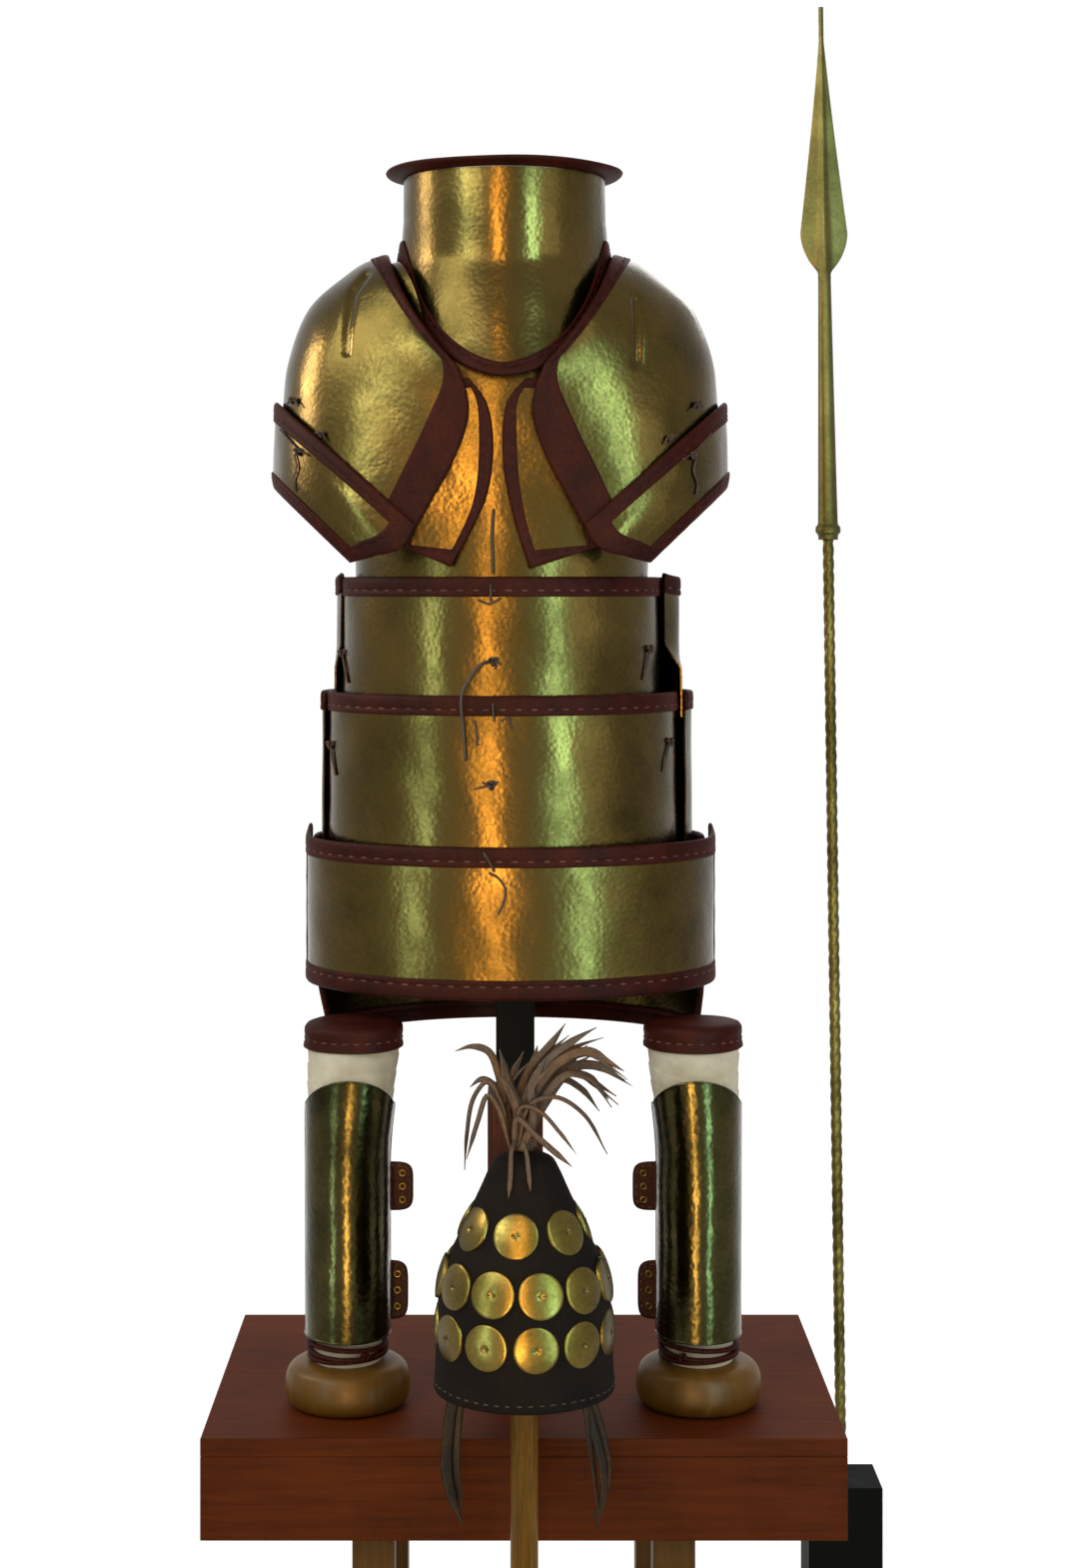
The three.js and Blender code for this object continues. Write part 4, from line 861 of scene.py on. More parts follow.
def greaveSurface(side):
    # Follows the leg; its upper edge falls from the middle as a circle does
    g = greave

    def surface(u, v):
        across = 2 * u - 1
        level = np.sin(np.clip(g["wrap"] * across, -np.pi / 2, np.pi / 2))
        z = g["foot"] + v * (g["height"] - g["arch"] * (1 - np.sqrt(1 - level ** 2 * 0.98)))
        return legPoint(side, g["wrap"] * across * (1 - 0.07 * v), z, g["out"] + 0 * z)
    return surface


def addGreave(hand, side):
    surface = greaveSurface(side)
    sheetOf(f"{hand}Greave", surface, (81, 91), "stand", "bronze", greaveMetal, [f"{hand}_greave"],
            uneven=0.35)
    outer = edgePath((0.1, 0.1, 0.1, 0.1), (61, 71), "round")[0]
    path = surface(outer[:, 0], outer[:, 1])
    path = np.vstack([path, path[:1]])
    bead = tubeMesh(evenly(path, 260), greave["bead"], sides=8)
    newMesh(f"{hand}GreaveBead", *bead, "stand", "bronze", greaveMetal)


# Each turn of the ankle thong: its height, how far it tilts, and toward which side
ankle = {"turns": [[471.5, 2.4, 0.4], [478, -2.8, 1.3], [484.5, 2.6, 2.6]], "thick": 6.6, "flatShare": 0.85,
         "out": -2.3, "spread": 0.5, "knotZ": 478.0, "knotOut": 1.5, "knotSize": 4.6, "knotThick": 3.0}


def addAnkle(hand, side):
    # Turns of a round thong, each tilted its own way and lying on the last, and a knot in front
    turn = np.linspace(0, turnFull, 121)
    parts = []
    for k, (z, tilt, phase) in enumerate(ankle["turns"]):
        path = legPoint(side, turn, z + tilt * np.sin(turn + phase),
                        np.full(121, ankle["out"] + ankle["spread"] * k))
        parts.append(tubeMesh(path, ankle["thick"] / 2, sides=10, flat=ankle["flatShare"]))
    knot = legPoint(side, np.array([-0.5 * side]), np.array([ankle["knotZ"]]),
                    np.array([ankle["knotOut"]]))[0]
    parts.append(knotMesh(knot, ankle["knotSize"], ankle["knotThick"]))
    newMesh(f"{hand}AnkleThong", *joinMeshes(parts), "stand", "leather_binding", redHide,
            [f"{hand}_ankle_strap"])


def knotMesh(centre, size, thick, tilt=0.0):
    # A trefoil knot: x = sin t + 2 sin 2t, z = cos t - 2 cos 2t, y = -sin 3t, drawn flat and small
    t = np.linspace(0, turnFull, 61)
    x = (np.sin(t) + 2 * np.sin(2 * t)) / 3
    z = (np.cos(t) - 2 * np.cos(2 * t)) / 3
    y = -np.sin(3 * t) * 0.45
    c, s = np.cos(tilt), np.sin(tilt)
    path = np.asarray(centre) + size * stacked(c * x - s * z, y, s * x + c * z)
    return tubeMesh(path, thick / 2, sides=8)


# Each flap's middle height, its height and how far it reaches past the leg form
flaps = {"Upper": [650, 58, 28], "Lower": [528, 70, 22]}
flap = {"hidden": 46.0, "half": 2.3, "curl": 3.0, "eyelet": 3.4, "eyeletWire": 1.1, "eyeletIn": 13.0,
        "eyeletShare": 0.27, "stitchPitch": 9.0, "stitchLong": 5.0, "stitchThick": 0.9}


def addFlap(hand, side, name, z, high, reach):
    # A hide tab: a rounded rectangle (a superellipse of power five) with a soft edge, three eyelets
    # near its free end and stitches round it
    wide = flap["hidden"] + reach
    x0, y0 = legPoint(side, np.array([np.pi]), np.array([float(z)]), np.array([0.3]))[0][:2]
    middle = np.array([x0 - side * wide / 2, y0 + 2.5, z])
    turn = np.arange(96) / 96 * turnFull
    shape = stacked(np.sign(np.cos(turn)) * np.abs(np.cos(turn)) ** 0.4 * wide / 2,
                    np.sign(np.sin(turn)) * np.abs(np.sin(turn)) ** 0.4 * high / 2)
    share = np.array([0.02, 0.5, 0.9, 0.965, 0.992, 1.0, 0.992, 0.965, 0.9, 0.5, 0.02])
    deep = np.array([-1, -1, -1, -0.85, -0.45, 0, 0.45, 0.85, 1, 1, 1]) * flap["half"]

    def curl(p):
        # The free end bends forward by the square of how far past six tenths of the width a point lies
        past = np.clip((p[..., 0] - x0) * -side / wide - 0.6, 0, 1)
        return stacked(p[..., 0], p[..., 1] - flap["curl"] * past ** 2, p[..., 2])

    ring = stacked(middle[0] + shape[None, :, 0] * share[:, None], middle[1] + deep[:, None],
                   middle[2] + shape[None, :, 1] * share[:, None])
    ringsClosed(f"{hand}{name}Flap", curl(ring), "stand", "leather_binding", flapHide,
                [f"{hand}_{name.lower()}_flap"])
    for face, word in ((-1, "Front"), (1, "Back")):
        line = stacked(middle[0] + shape[:, 0] * 0.88, middle[1] + face * 2.1,
                       middle[2] + shape[:, 1] * 0.86)
        addStitches(f"{hand}{name}FlapStitches{word}", curl(line), np.tile([0, face * 1.0, 0], (96, 1)),
                    0.5, True, "stand", flap["stitchPitch"], flap["stitchLong"], flap["stitchThick"])
    parts = []
    for k in (-1, 0, 1):
        t = np.linspace(0, turnFull, 25)
        hub = np.array([x0 - side * (wide - flap["eyeletIn"]), middle[1] - 2.4,
                        z + k * high * flap["eyeletShare"]])
        path = hub + flap["eyelet"] * stacked(np.cos(t), 0, np.sin(t))
        parts.append(tubeMesh(curl(path), flap["eyeletWire"], sides=8))
    newMesh(f"{hand}{name}Eyelets", *joinMeshes(parts), "stand", "bronze", discMetal)


def addLegs():
    for hand, side in (("left", -1), ("right", 1)):
        x, high, wide = leg["middle"] + side * leg["spread"], leg["footHigh"], leg["footWide"]
        profile = [[wide * across, high * up] for across, up in footShares]
        latheOf(f"{hand}Foot", [[0, 0], *profile, [leg["ankle"] * 0.98, high], [0, high]],
                (x, leg["y"], leg["foot"]), "stand", "foot_wood", footWood, [f"{hand}_foot"], sides=96)
        addLegForm(hand, side)
        addLegCap(hand, side)
        addGreave(hand, side)
        addAnkle(hand, side)
        for name, sizes in flaps.items():
            addFlap(hand, side, name, *sizes)


# Cap: a hide cone on a short wall, three rows of pressed discs, a fold at the rim

cap = {"x": 17.0, "y": -310.0, "foot": 495.0, "wall": 6.0,
       "outside": [[97, 495.2], [97.6, 503], [96.6, 511], [95.4, 540], [93.8, 575], [92.2, 600],
                   [90.2, 616], [85.5, 628], [73.5, 652], [60.5, 680], [47.5, 708], [37.5, 730],
                   [31, 740.5], [20, 746.2]],
       # Each row of discs: its height, how many go round, and how far the first is turned, in discs
       "rows": [[561.0, 11, 0.22], [616.0, 11, 0.33], [672.0, 7, 0.84]], "discSides": 40,
       "discUnder": 3.5, "discDimple": 2.0, "threadApart": 4.5, "threadOut": 3.2, "rimStitches": 97.4,
       # A pressed disc's radius and height: a low dome from its rim up, and a dimple in its middle
       "disc": [[24, -3.5], [24.2, 0.2], [23.4, 0.75], [21, 1.3], [18, 1.95], [14.5, 2.6], [10.5, 3.1],
                [6.5, 3.4], [3.6, 3.45], [2.4, 2.8], [1.2, 2.3], [0.2, 2.2]]}


def addCap():
    outside = np.array(cap["outside"], dtype=float)
    inside = stacked(outside[::-1, 0] - cap["wall"], outside[::-1, 1] - cap["wall"] * 0.4)
    inside = inside[inside[:, 0] > 4]
    inside[-1] = [outside[0, 0] - cap["wall"], outside[0, 1]]
    profile = np.vstack([[[0, 748]], outside[::-1], [[outside[0, 0] - 3, outside[0, 1] - 0.2]],
                         inside[::-1], [[0, inside[0, 1]]]])

    def creased(p):
        # The height wavers a little round the cap, between its rim and its crown
        about = np.arctan2(p[..., 0] - cap["x"], -(p[..., 1] - cap["y"]))
        wave = 0.9 * np.sin(about * 3 + 1) * (p[..., 2] < 740) * (p[..., 2] > 500)
        return p + stacked(0, 0, wave)

    latheOf("capShell", profile, (cap["x"], cap["y"], 0), "headgear", "cap_leather", capHide, ["cap"],
            sides=96, bend=creased, steps=4)
    curve = alongCurve(stacked(outside[:, 0], 0, outside[:, 1]), np.linspace(0, 1, 400))
    lens, sides = np.array(cap["disc"]), cap["discSides"]
    turn = np.arange(sides) / sides * turnFull
    parts, threads = [], []
    for z, count, offset in cap["rows"]:
        k = np.abs(curve[:, 2] - z).argmin()
        r = curve[k, 0]
        slope = unit((curve[k + 4] - curve[k - 4])[[0, 2]])
        for n in range(count):
            about = turnFull * (n + offset) / count
            outward = np.array([np.sin(about), -np.cos(about), 0])
            side = np.array([np.cos(about), np.sin(about), 0])
            up = outward * slope[0] + np.array([0, 0, 1.0]) * slope[1]
            normal = np.cross(side, up)
            centre = np.array([cap["x"], cap["y"], z]) + outward * (r - 0.2)
            spoke = np.cos(turn)[None, :, None] * side + np.sin(turn)[None, :, None] * up
            ring = centre + lens[:, 0][:, None, None] * spoke + lens[:, 1][:, None, None] * normal
            parts.append(closedRings(ring, [centre - normal * cap["discUnder"],
                                            centre + normal * cap["discDimple"]]))
            for shift in (-cap["threadApart"], cap["threadApart"]):
                threads.append(tubeMesh(centre + normal * cap["threadOut"]
                                        + side * shift * np.linspace(1.15, 0.35, 5)[:, None],
                                        0.7, sides=6))
    newMesh("capDiscs", *joinMeshes(parts), "headgear", "bronze", discMetal, sharp=60)
    newMesh("capDiscThreads", *joinMeshes(threads), "headgear", "lacing", thong)
    turn = np.arange(120) / 120 * turnFull
    line = stacked(cap["x"] + cap["rimStitches"] * np.sin(turn),
                   cap["y"] - cap["rimStitches"] * np.cos(turn), 504 + 0.6 * np.sin(turn * 4))
    addStitches("capRimStitches", line, unit(line - np.array([cap["x"], cap["y"], 504])), 0.3, True,
                "headgear", 12.0, 7.0, 0.9, thong)


# Plume: strips of rawhide drawn from the photograph's own line of each one, as points of the
# picture turned to millimetres at the cap's depth, with a depth of its own

plume = {"wide": 9.4, "thick": 1.5, "facing": [0.0, -1.0, 0.25], "lowest": 748.4, "twist": 0.9,
         # A strip this wide or wider splits: where, how wide and thick the second end is, and its tip
         "splitFrom": 1.0, "splitAt": 0.55, "splitWide": 0.55, "splitThick": 1.4, "splitTip": 0.6,
         # The bound root: radius and height at three places up, and the thong wound round it
         "root": [[9, 748.6], [8, 764], [11, 790]], "rootStrips": 9, "rootWide": 9.0, "rootThick": 2.4,
         "wrapOut": 11.5, "wrapFoot": 753.0, "wrapRise": 9.0, "wrapTurns": 3, "wrapThick": 3.8}
# Width share, depth at the root and at the tip, then the strip's line in the picture
strips = [
    [0.9, 4, -6, [[513, 1152], [505, 1112], [499, 1075], [489, 1052], [472, 1047], [455, 1052]]],
    [0.6, -6, -16, [[512, 1150], [500, 1100], [488, 1082], [474, 1098], [467, 1135], [465, 1171]]],
    [0.65, -10, -20, [[511, 1150], [498, 1108], [488, 1096], [478, 1122], [467, 1160]]],
    [1.1, 2, 10, [[516, 1152], [516, 1110], [530, 1070], [550, 1046], [566, 1024]]],
    [1.1, -2, 4, [[518, 1152], [524, 1105], [548, 1062], [575, 1041], [597, 1028]]],
    [1.25, 0, -8, [[519, 1152], [530, 1105], [556, 1066], [588, 1052], [608, 1062], [625, 1072]]],
    [1.15, 6, 14, [[520, 1152], [538, 1100], [566, 1070], [595, 1066], [626, 1081]]],
    [1.1, -6, -14, [[520, 1152], [540, 1108], [566, 1076], [590, 1078], [609, 1100]]],
    [1.0, 8, 0, [[522, 1152], [546, 1104], [572, 1072], [594, 1082], [617, 1097]]],
    [0.6, -12, -26, [[518, 1150], [530, 1106], [556, 1098], [584, 1115], [608, 1155]]],
    [0.5, -14, -30, [[516, 1148], [522, 1108], [540, 1112], [560, 1133], [577, 1155]]],
    [0.75, -16, -34, [[514, 1148], [518, 1120], [538, 1138], [573, 1168]]],
    [0.6, -20, -48, [[516, 1142], [512, 1152], [511, 1176], [509, 1200]]],
    [0.6, -20, -48, [[523, 1142], [527, 1154], [529, 1172], [531, 1192]]],
    [1.3, -8, -14, [[524, 1152], [520, 1112], [508, 1082], [500, 1050]]],
    [1.3, 10, 8, [[517, 1152], [520, 1108], [532, 1072], [538, 1046]]],
    [1.2, -14, -10, [[521, 1152], [534, 1118], [532, 1088], [546, 1060]]],
    [1.3, 12, 18, [[522, 1152], [532, 1116], [548, 1080], [572, 1060], [588, 1046]]],
    [1.1, -10, -18, [[519, 1152], [520, 1122], [512, 1096], [500, 1076]]],
    [1.2, 4, -4, [[516, 1152], [508, 1118], [510, 1084], [524, 1052]]],
    [0.9, 14, 26, [[520, 1152], [536, 1104], [560, 1080], [582, 1090], [600, 1112]]],
    [0.9, 14, 30, [[514, 1152], [506, 1108], [494, 1086], [482, 1080], [470, 1088]]],
]


def pictureToPart(points, y):
    # A picture point at a known depth: its offset from the picture's centre times the scale there
    points = np.asarray(points, dtype=float)
    y = np.asarray(y, dtype=float) + 0 * points[:, 0]
    scale = (y - camera["at"][1]) / camera["focalPixels"]
    return stacked((points[:, 0] - camera["centre"][0]) * scale, y, camera["at"][2]
                   - (points[:, 1] - camera["centre"][1]) * scale)


def ribbonMesh(path, wide, thick, facing, twist=0.0, tip=0.3, cup=0.18):
    # A flat strip with a shallow hollow: eight points round, its width swelling to the middle and
    # drawn to a point, its face turning evenly along the way
    n = len(path)
    tangent = unit(np.gradient(path, axis=0))
    side = unit(np.cross(tangent, facing))
    lift = unit(np.cross(side, tangent))
    a = (np.linspace(0, 1, n) * twist)[:, None]
    side, lift = np.cos(a) * side + np.sin(a) * lift, np.cos(a) * lift - np.sin(a) * side
    s = np.linspace(0, 1, n)
    width = wide / 2 * np.interp(s, [0, 0.15, 0.6, 1 - tip * 0.6, 1], [0.55, 0.85, 1.0, 0.92, 0.06])
    q = np.array([-1, -0.5, 0, 0.5, 1, 0.5, 0, -0.5])
    h = np.array([0, 1, 1, 1, 0, -1, -1, -1]) * thick / 2
    bow = cup * (q ** 2)
    ring = (path[:, None] + side[:, None] * (q[None] * width[:, None])[..., None]
            + lift[:, None] * (h[None] + (bow[None] * width[:, None]))[..., None])
    points, faces = closedRings(ring)
    if signedVolume(points, faces) < 0:
        faces = faces[:, ::-1]
    return points, faces


def addPlume():
    p, facing = plume, np.array(plume["facing"])
    rng = np.random.default_rng(7)
    parts = []
    for share, root, tip, line in strips:
        depth = cap["y"] + np.linspace(root, tip, len(line))
        path = pictureToPart(line, depth)
        path = evenly(alongCurve(path, np.linspace(0, 1, 90)), 40)
        path[0, 2] = max(path[0, 2], p["lowest"])
        twist = rng.uniform(-p["twist"], p["twist"])
        parts.append(ribbonMesh(path, p["wide"] * share, p["thick"], facing, twist))
        if share >= p["splitFrom"]:
            # A second, narrower strip leaves the first partway along
            start = int(len(path) * p["splitAt"])
            fork = path[start:].copy()
            s = np.linspace(0, 1, len(fork))[:, None]
            away = np.array([rng.uniform(2, 9), rng.uniform(-8, 8), rng.uniform(-14, -4)])
            parts.append(ribbonMesh(fork + away * s ** 1.4, p["wide"] * p["splitWide"], p["splitThick"],
                                    facing, -twist, p["splitTip"]))
    for k in range(p["rootStrips"]):
        a = k / p["rootStrips"] * turnFull
        path = [[cap["x"] + np.cos(a) * r + aside, cap["y"] + np.sin(a) * r, z]
                for (r, z), aside in zip(p["root"], (0, 1, 4))]
        across = np.array([np.cos(k * 0.7), np.sin(k * 0.7), 0.0])
        parts.append(ribbonMesh(evenly(path, 14), p["rootWide"], p["rootThick"], across, 0.3))
    # The binding thong is a helix round the root
    turn = np.linspace(0, p["wrapTurns"] * turnFull, 120)
    wrap = stacked(cap["x"] + p["wrapOut"] * np.cos(turn), cap["y"] + p["wrapOut"] * np.sin(turn),
                   p["wrapFoot"] + p["wrapRise"] * turn / turn[-1])
    parts.append(tubeMesh(wrap, p["wrapThick"] / 2, sides=8))
    newMesh("plumeStrips", *joinMeshes(parts), "headgear", "plume_leather", stripHide, ["plume"],
            turnOut=False)


# Chin straps: depth, width share and twist of each strand, then its line in the picture
chinStraps = {"left": [[0, 1.25, 0.6, [[455, 1386], [449, 1430], [447, 1470], [453, 1500], [464, 1526]]],
                       [4, 0.8, -0.9, [[463, 1386], [457, 1440], [457, 1478], [463, 1510]]]],
              "right": [[0, 1.0, 0.7, [[580, 1386], [594, 1430], [603, 1466], [604, 1500], [597, 1528]]],
                        [5, 0.8, -0.8, [[588, 1386], [603, 1436], [608, 1472], [601, 1505], [590, 1524]]],
                        [-4, 0.7, 1.2, [[584, 1386], [590, 1440], [595, 1480], [599, 1515], [598, 1530]]]]}
chinStrap = {"wide": 13.0, "thick": 2.2, "highest": 494.6, "facing": [0.25, -1.0, 0.0], "tip": 0.35,
             "cup": 0.1}


def addChinStraps():
    for hand, strands in chinStraps.items():
        parts = []
        for depth, share, twist, line in strands:
            path = evenly(alongCurve(pictureToPart(line, cap["y"] + depth), np.linspace(0, 1, 80)), 36)
            path[:, 2] = np.minimum(path[:, 2], chinStrap["highest"])
            parts.append(ribbonMesh(path, chinStrap["wide"] * share, chinStrap["thick"],
                                    np.array(chinStrap["facing"]), twist, chinStrap["tip"],
                                    chinStrap["cup"]))
        newMesh(f"{hand}ChinStrap", *joinMeshes(parts), "headgear", "strap_leather", strapHide,
                [f"{hand}_chin_strap"], turnOut=False)


# The cap's stand: a turned base, a plain pole, and a collar and plug inside the cap, as radius and height
capStandProfile = [[0, 0.1], [88, 0.1], [90, 1.5], [90, 14], [88.5, 18], [81, 26], [60, 30], [36, 32.4],
                   [22, 36], [15.4, 44], [15, 60], [15, 668.5], [15.4, 669], [44, 699.6], [43.5, 701],
                   [29.7, 729.5], [29, 730.2], [0, 730.2]]


def addCapStand():
    latheOf("capPole", capStandProfile, (cap["x"], cap["y"], 0), "stand", "pole_wood", poleWood,
            ["cap_stand"], sides=72, smooth=False)


addLegs()
addCap()
addPlume()
addChinStraps()
addCapStand()
print("legs, cap and plume made")


# Breastplate and backplate: one oval trunk in two halves, with armholes and a neckline

trunk = {"x": -8.0, "halfWidth": 174.0, "depth": 140.9, "hem": 1322.0, "waist": 1366.0, "shoulder": 1735.0,
         "neckTop": 1744.0, "neckHalfWidth": 105.0, "neckHalfDepth": 96.0, "armhole": 76.0,
         "armholeZ": 1618.0,
         # The neckline stands off the collar; the tool that cuts it runs from below it to above the trunk
         "neckOff": 7.0, "neckUnder": 10.0, "neckFloor": 1733.0, "neckCeiling": 1780.0}
# Shares of the way up, of the half width and of the half depth
trunkShares = [[0.35, 1.03, 0.97], [0.62, 1.06, 0.955], [0.8, 1.02, 0.9], [0.92, 0.96, 0.82],
               [1, 0.84, 0.72]]


def trunkSurface(middle):
    t = trunk
    rise = t["shoulder"] - t["waist"]
    knots = [[t["halfWidth"], t["depth"], t["hem"]], [t["halfWidth"], t["depth"], t["waist"]]]
    knots += [[t["halfWidth"] * w, t["depth"] * d, t["waist"] + rise * s] for s, w, d in trunkShares]
    knots.append([t["neckHalfWidth"], t["neckHalfDepth"], t["neckTop"]])

    def surface(u, v):
        # An oval whose half width and half depth follow a smooth curve up the trunk
        row = alongCurve(knots, v)
        turn = middle + (u - 0.5) * (np.pi - 0.002)
        return stacked(t["x"] + row[..., 0] * np.sin(turn), -row[..., 1] * np.cos(turn), row[..., 2])
    return surface


def toolOf(points, faces):
    mesh = bpy.data.meshes.new("tool")
    mesh.from_pydata(toFrame(points).tolist(), [], [list(dict.fromkeys(face)) for face in faces.tolist()])
    tool = bpy.data.objects.new("tool", mesh)
    bpy.context.scene.collection.objects.link(tool)
    work = bmesh.new()
    work.from_mesh(mesh)
    bmesh.ops.recalc_face_normals(work, faces=work.faces)
    work.to_mesh(mesh)
    work.free()
    return tool


def cutBy(piece, tools):
    for tool in tools:
        change = piece.modifiers.new("cut", "BOOLEAN")
        change.operation = "DIFFERENCE"
        change.solver = "EXACT"
        change.object = tool
    bpy.context.view_layer.update()
    seen = bpy.context.evaluated_depsgraph_get()
    mesh = bpy.data.meshes.new_from_object(piece.evaluated_get(seen))
    piece.modifiers.clear()
    piece.data = mesh
    mesh.polygons.foreach_set("use_smooth", np.ones(len(mesh.polygons), dtype=bool))
    mesh.set_sharp_from_angle(angle=np.radians(45))
    for tool in tools:
        bpy.data.objects.remove(tool)


def armholeTool():
    t = trunk
    line = [[t["x"] + x, 0, t["armholeZ"]] for x in np.linspace(-400, 400, 5)]
    return toolOf(*tubeMesh(line, t["armhole"], sides=64, facing=(0, 0, -1.0)))


def neckTool():
    # A prism whose walls stand off the collar's lower edge and whose floor follows it
    t, sides = trunk, 96
    u = np.arange(sides) / sides
    edge = collarSurface()(u, 0 * u)
    out = edge - np.array([collar["x"], 0, 0])
    out[:, 2] = 0
    edge = edge + unit(out) * t["neckOff"]
    low, high = edge.copy(), edge.copy()
    low[:, 2] -= t["neckUnder"]
    high[:, 2] = t["neckCeiling"]
    ends = [[collar["x"], 0, t["neckFloor"]], [collar["x"], 0, t["neckCeiling"]]]
    return toolOf(*closedRings(np.stack([low, high]), ends))


def addTrunk():
    for word, middle in (("Front", 0.0), ("Back", np.pi)):
        piece = sheetOf(f"cuirass{word}", trunkSurface(middle), (121, 91), "stand", "bronze", bronze,
                        [f"cuirass_{word.lower()}"], uneven=0.3)
        cutBy(piece, [armholeTool(), neckTool()])


# Knots, thongs and lacing, each on the surface that carries it

seenGrids = {}


def onSurface(surface, points, lift, outward):
    # The surface's point that the camera sees at each picture point: the nearest of a fine grid in
    # the picture, among those that face forward, lifted along the outward normal
    if surface not in seenGrids:
        v, u = np.meshgrid(np.linspace(0, 1, 161), np.linspace(0, 1, 401), indexing="ij")
        grid = surface(u, v)
        normal = normalsOf(getattr(surface, "smooth", surface), u, v) * outward
        scale = camera["focalPixels"] / (grid[..., 1] - camera["at"][1])
        px = camera["centre"][0] + grid[..., 0] * scale
        py = camera["centre"][1] + (camera["at"][2] - grid[..., 2]) * scale
        hidden = (normal[..., 1] > 0.05) * 1e6
        seenGrids[surface] = [grid.reshape(-1, 3), normal.reshape(-1, 3), px, py, hidden]
    grid, normal, px, py, hidden = seenGrids[surface]
    nearest = [((px - x) ** 2 + (py - y) ** 2 + hidden).argmin() for x, y in points]
    return grid[nearest] + normal[nearest] * lift


def thongOn(name, surface, outward, lines, knots, body, size, thick=3.2):
    # Flat thongs along their lines, and a knot at each place given
    parts = []
    for lift, line in lines:
        path = onSurface(surface, line, lift, outward)
        path = evenly(alongCurve(path, np.linspace(0, 1, 80)), 30)
        parts.append(tubeMesh(path, thick / 2, sides=8, flat=0.8))
    for k, (lift, place) in enumerate(knots):
        parts.append(knotMesh(onSurface(surface, place, lift, outward)[0], size, thick, 0.5 * k))
    newMesh(name, *joinMeshes(parts), body, "lacing", thong)


# Thongs drawn on the photograph: lines and knots, each as its height over the surface and its points
# in the picture. First those on the skirt bands, each with its band and the size of its knots
bandThongs = {
    "firstBandKnot": [0, 5.0, [[2.6, [[487, 664], [494, 661], [503, 665]]],
                               [2.6, [[494, 662], [497, 666], [496, 670]]]], [[4.0, [[494, 662]]]]],
    "firstHideThong": [0, 5.0, [[5.0, [[479, 601], [490, 604], [501, 599]]],
                                [5.0, [[491, 585], [491, 602]]]], []],
    "secondBandThong": [1, 5.0, [[5.2, [[493, 704], [494, 712], [495, 722]]],
                                 [3.0, [[475, 722], [477, 732], [478, 746]]],
                                 [4.4, [[502, 722], [509, 718], [512, 730]]]], []],
    "secondBandKnot": [1, 5.0, [[2.6, [[492, 786], [484, 788], [475, 790]]],
                                [2.6, [[483, 783], [492, 787], [499, 782]]]], [[4.0, [[492, 786]]]]],
    "thirdBandThong": [2, 5.0, [[5.2, [[486, 858], [484, 852], [489, 862], [495, 872]]],
                                [3.0, [[489, 874], [499, 879], [506, 891], [504, 903], [499, 915]]]], []],
    "sideFirstLacing": [0, 4.2, [[2.8, [[345, 653], [347, 667], [350, 683]]],
                                 [2.8, [[648, 650], [645, 664], [642, 680]]]],
                        [[3.6, [[345, 653]]], [3.6, [[648, 650]]]]],
    "sideSecondLacing": [1, 4.2, [[2.8, [[333, 745], [335, 759], [338, 775]]],
                                  [2.8, [[668, 742], [665, 756], [662, 772]]]],
                         [[3.6, [[333, 745]]], [3.6, [[668, 742]]]]]}
# Then those on the left shoulder guard and arm guard, each with its thickness too. The right ones
# mirror them in the picture, across this many pixels and a few pixels lower
guardThongs = {
    "GuardTies": [3.6, 2.6, [[5.5, [[292, 404], [297, 399], [303, 407]]],
                             [5.5, [[318, 434], [325, 432], [328, 441]]]],
                  [[6.5, [[297, 401]]], [6.5, [[324, 435]]]]],
    "ArmLace": [4.0, 2.8, [[3.2, [[283, 430], [292, 441], [301, 450], [310, 456]]],
                           [3.2, [[297, 455], [299, 468], [296, 480], [297, 491]]]],
                [[4.4, [[300, 452]]]]]}
mirrored = {"across": 992, "down": 4}
# The breastplate's centre slit in the picture, and the fold that is drawn along it
slit = {"x": 490.5, "top": 470, "step": 4, "points": 26, "lift": 0.9, "radius": 1.3}


def addLacing():
    front = [bandSurface("front", level) for level in range(3)]
    for name, (level, size, lines, knots) in bandThongs.items():
        body = "stand" if level == 0 else f"front_skirt_{level + 1}"
        thongOn(name, front[level], -1, lines, knots, body, size)
    # The centre slit of the breastplate: a raised fold where its two halves meet
    points = [[slit["x"], slit["top"] + slit["step"] * k] for k in range(slit["points"])]
    line = onSurface(trunkSurface(0.0), points, slit["lift"], -1)
    newMesh("chestFold", *tubeMesh(evenly(line, 60), slit["radius"], sides=8), "stand", "bronze", bronze)
    for hand, side in (("left", -1), ("right", 1)):
        mirror = lambda rows: rows if side < 0 else [
            [lift, [[mirrored["across"] - x, y + mirrored["down"]] for x, y in line]] for lift,
            line in rows]
        guard = bellSurface(side)
        arm = bellSurface(side, bell["armFrom"], bell["armTo"], bell["armOffset"], creased=False)
        for word, surface, body in (("GuardTies", guard, "pauldron"), ("ArmLace", arm, "arm")):
            size, thick, lines, knots = guardThongs[word]
            thongOn(f"{hand}{word}", surface, -side, mirror(lines), mirror(knots), f"{hand}_{body}",
                    size, thick)


# Spear: blade, socket and ring along one leaning axis, and a twisted shaft

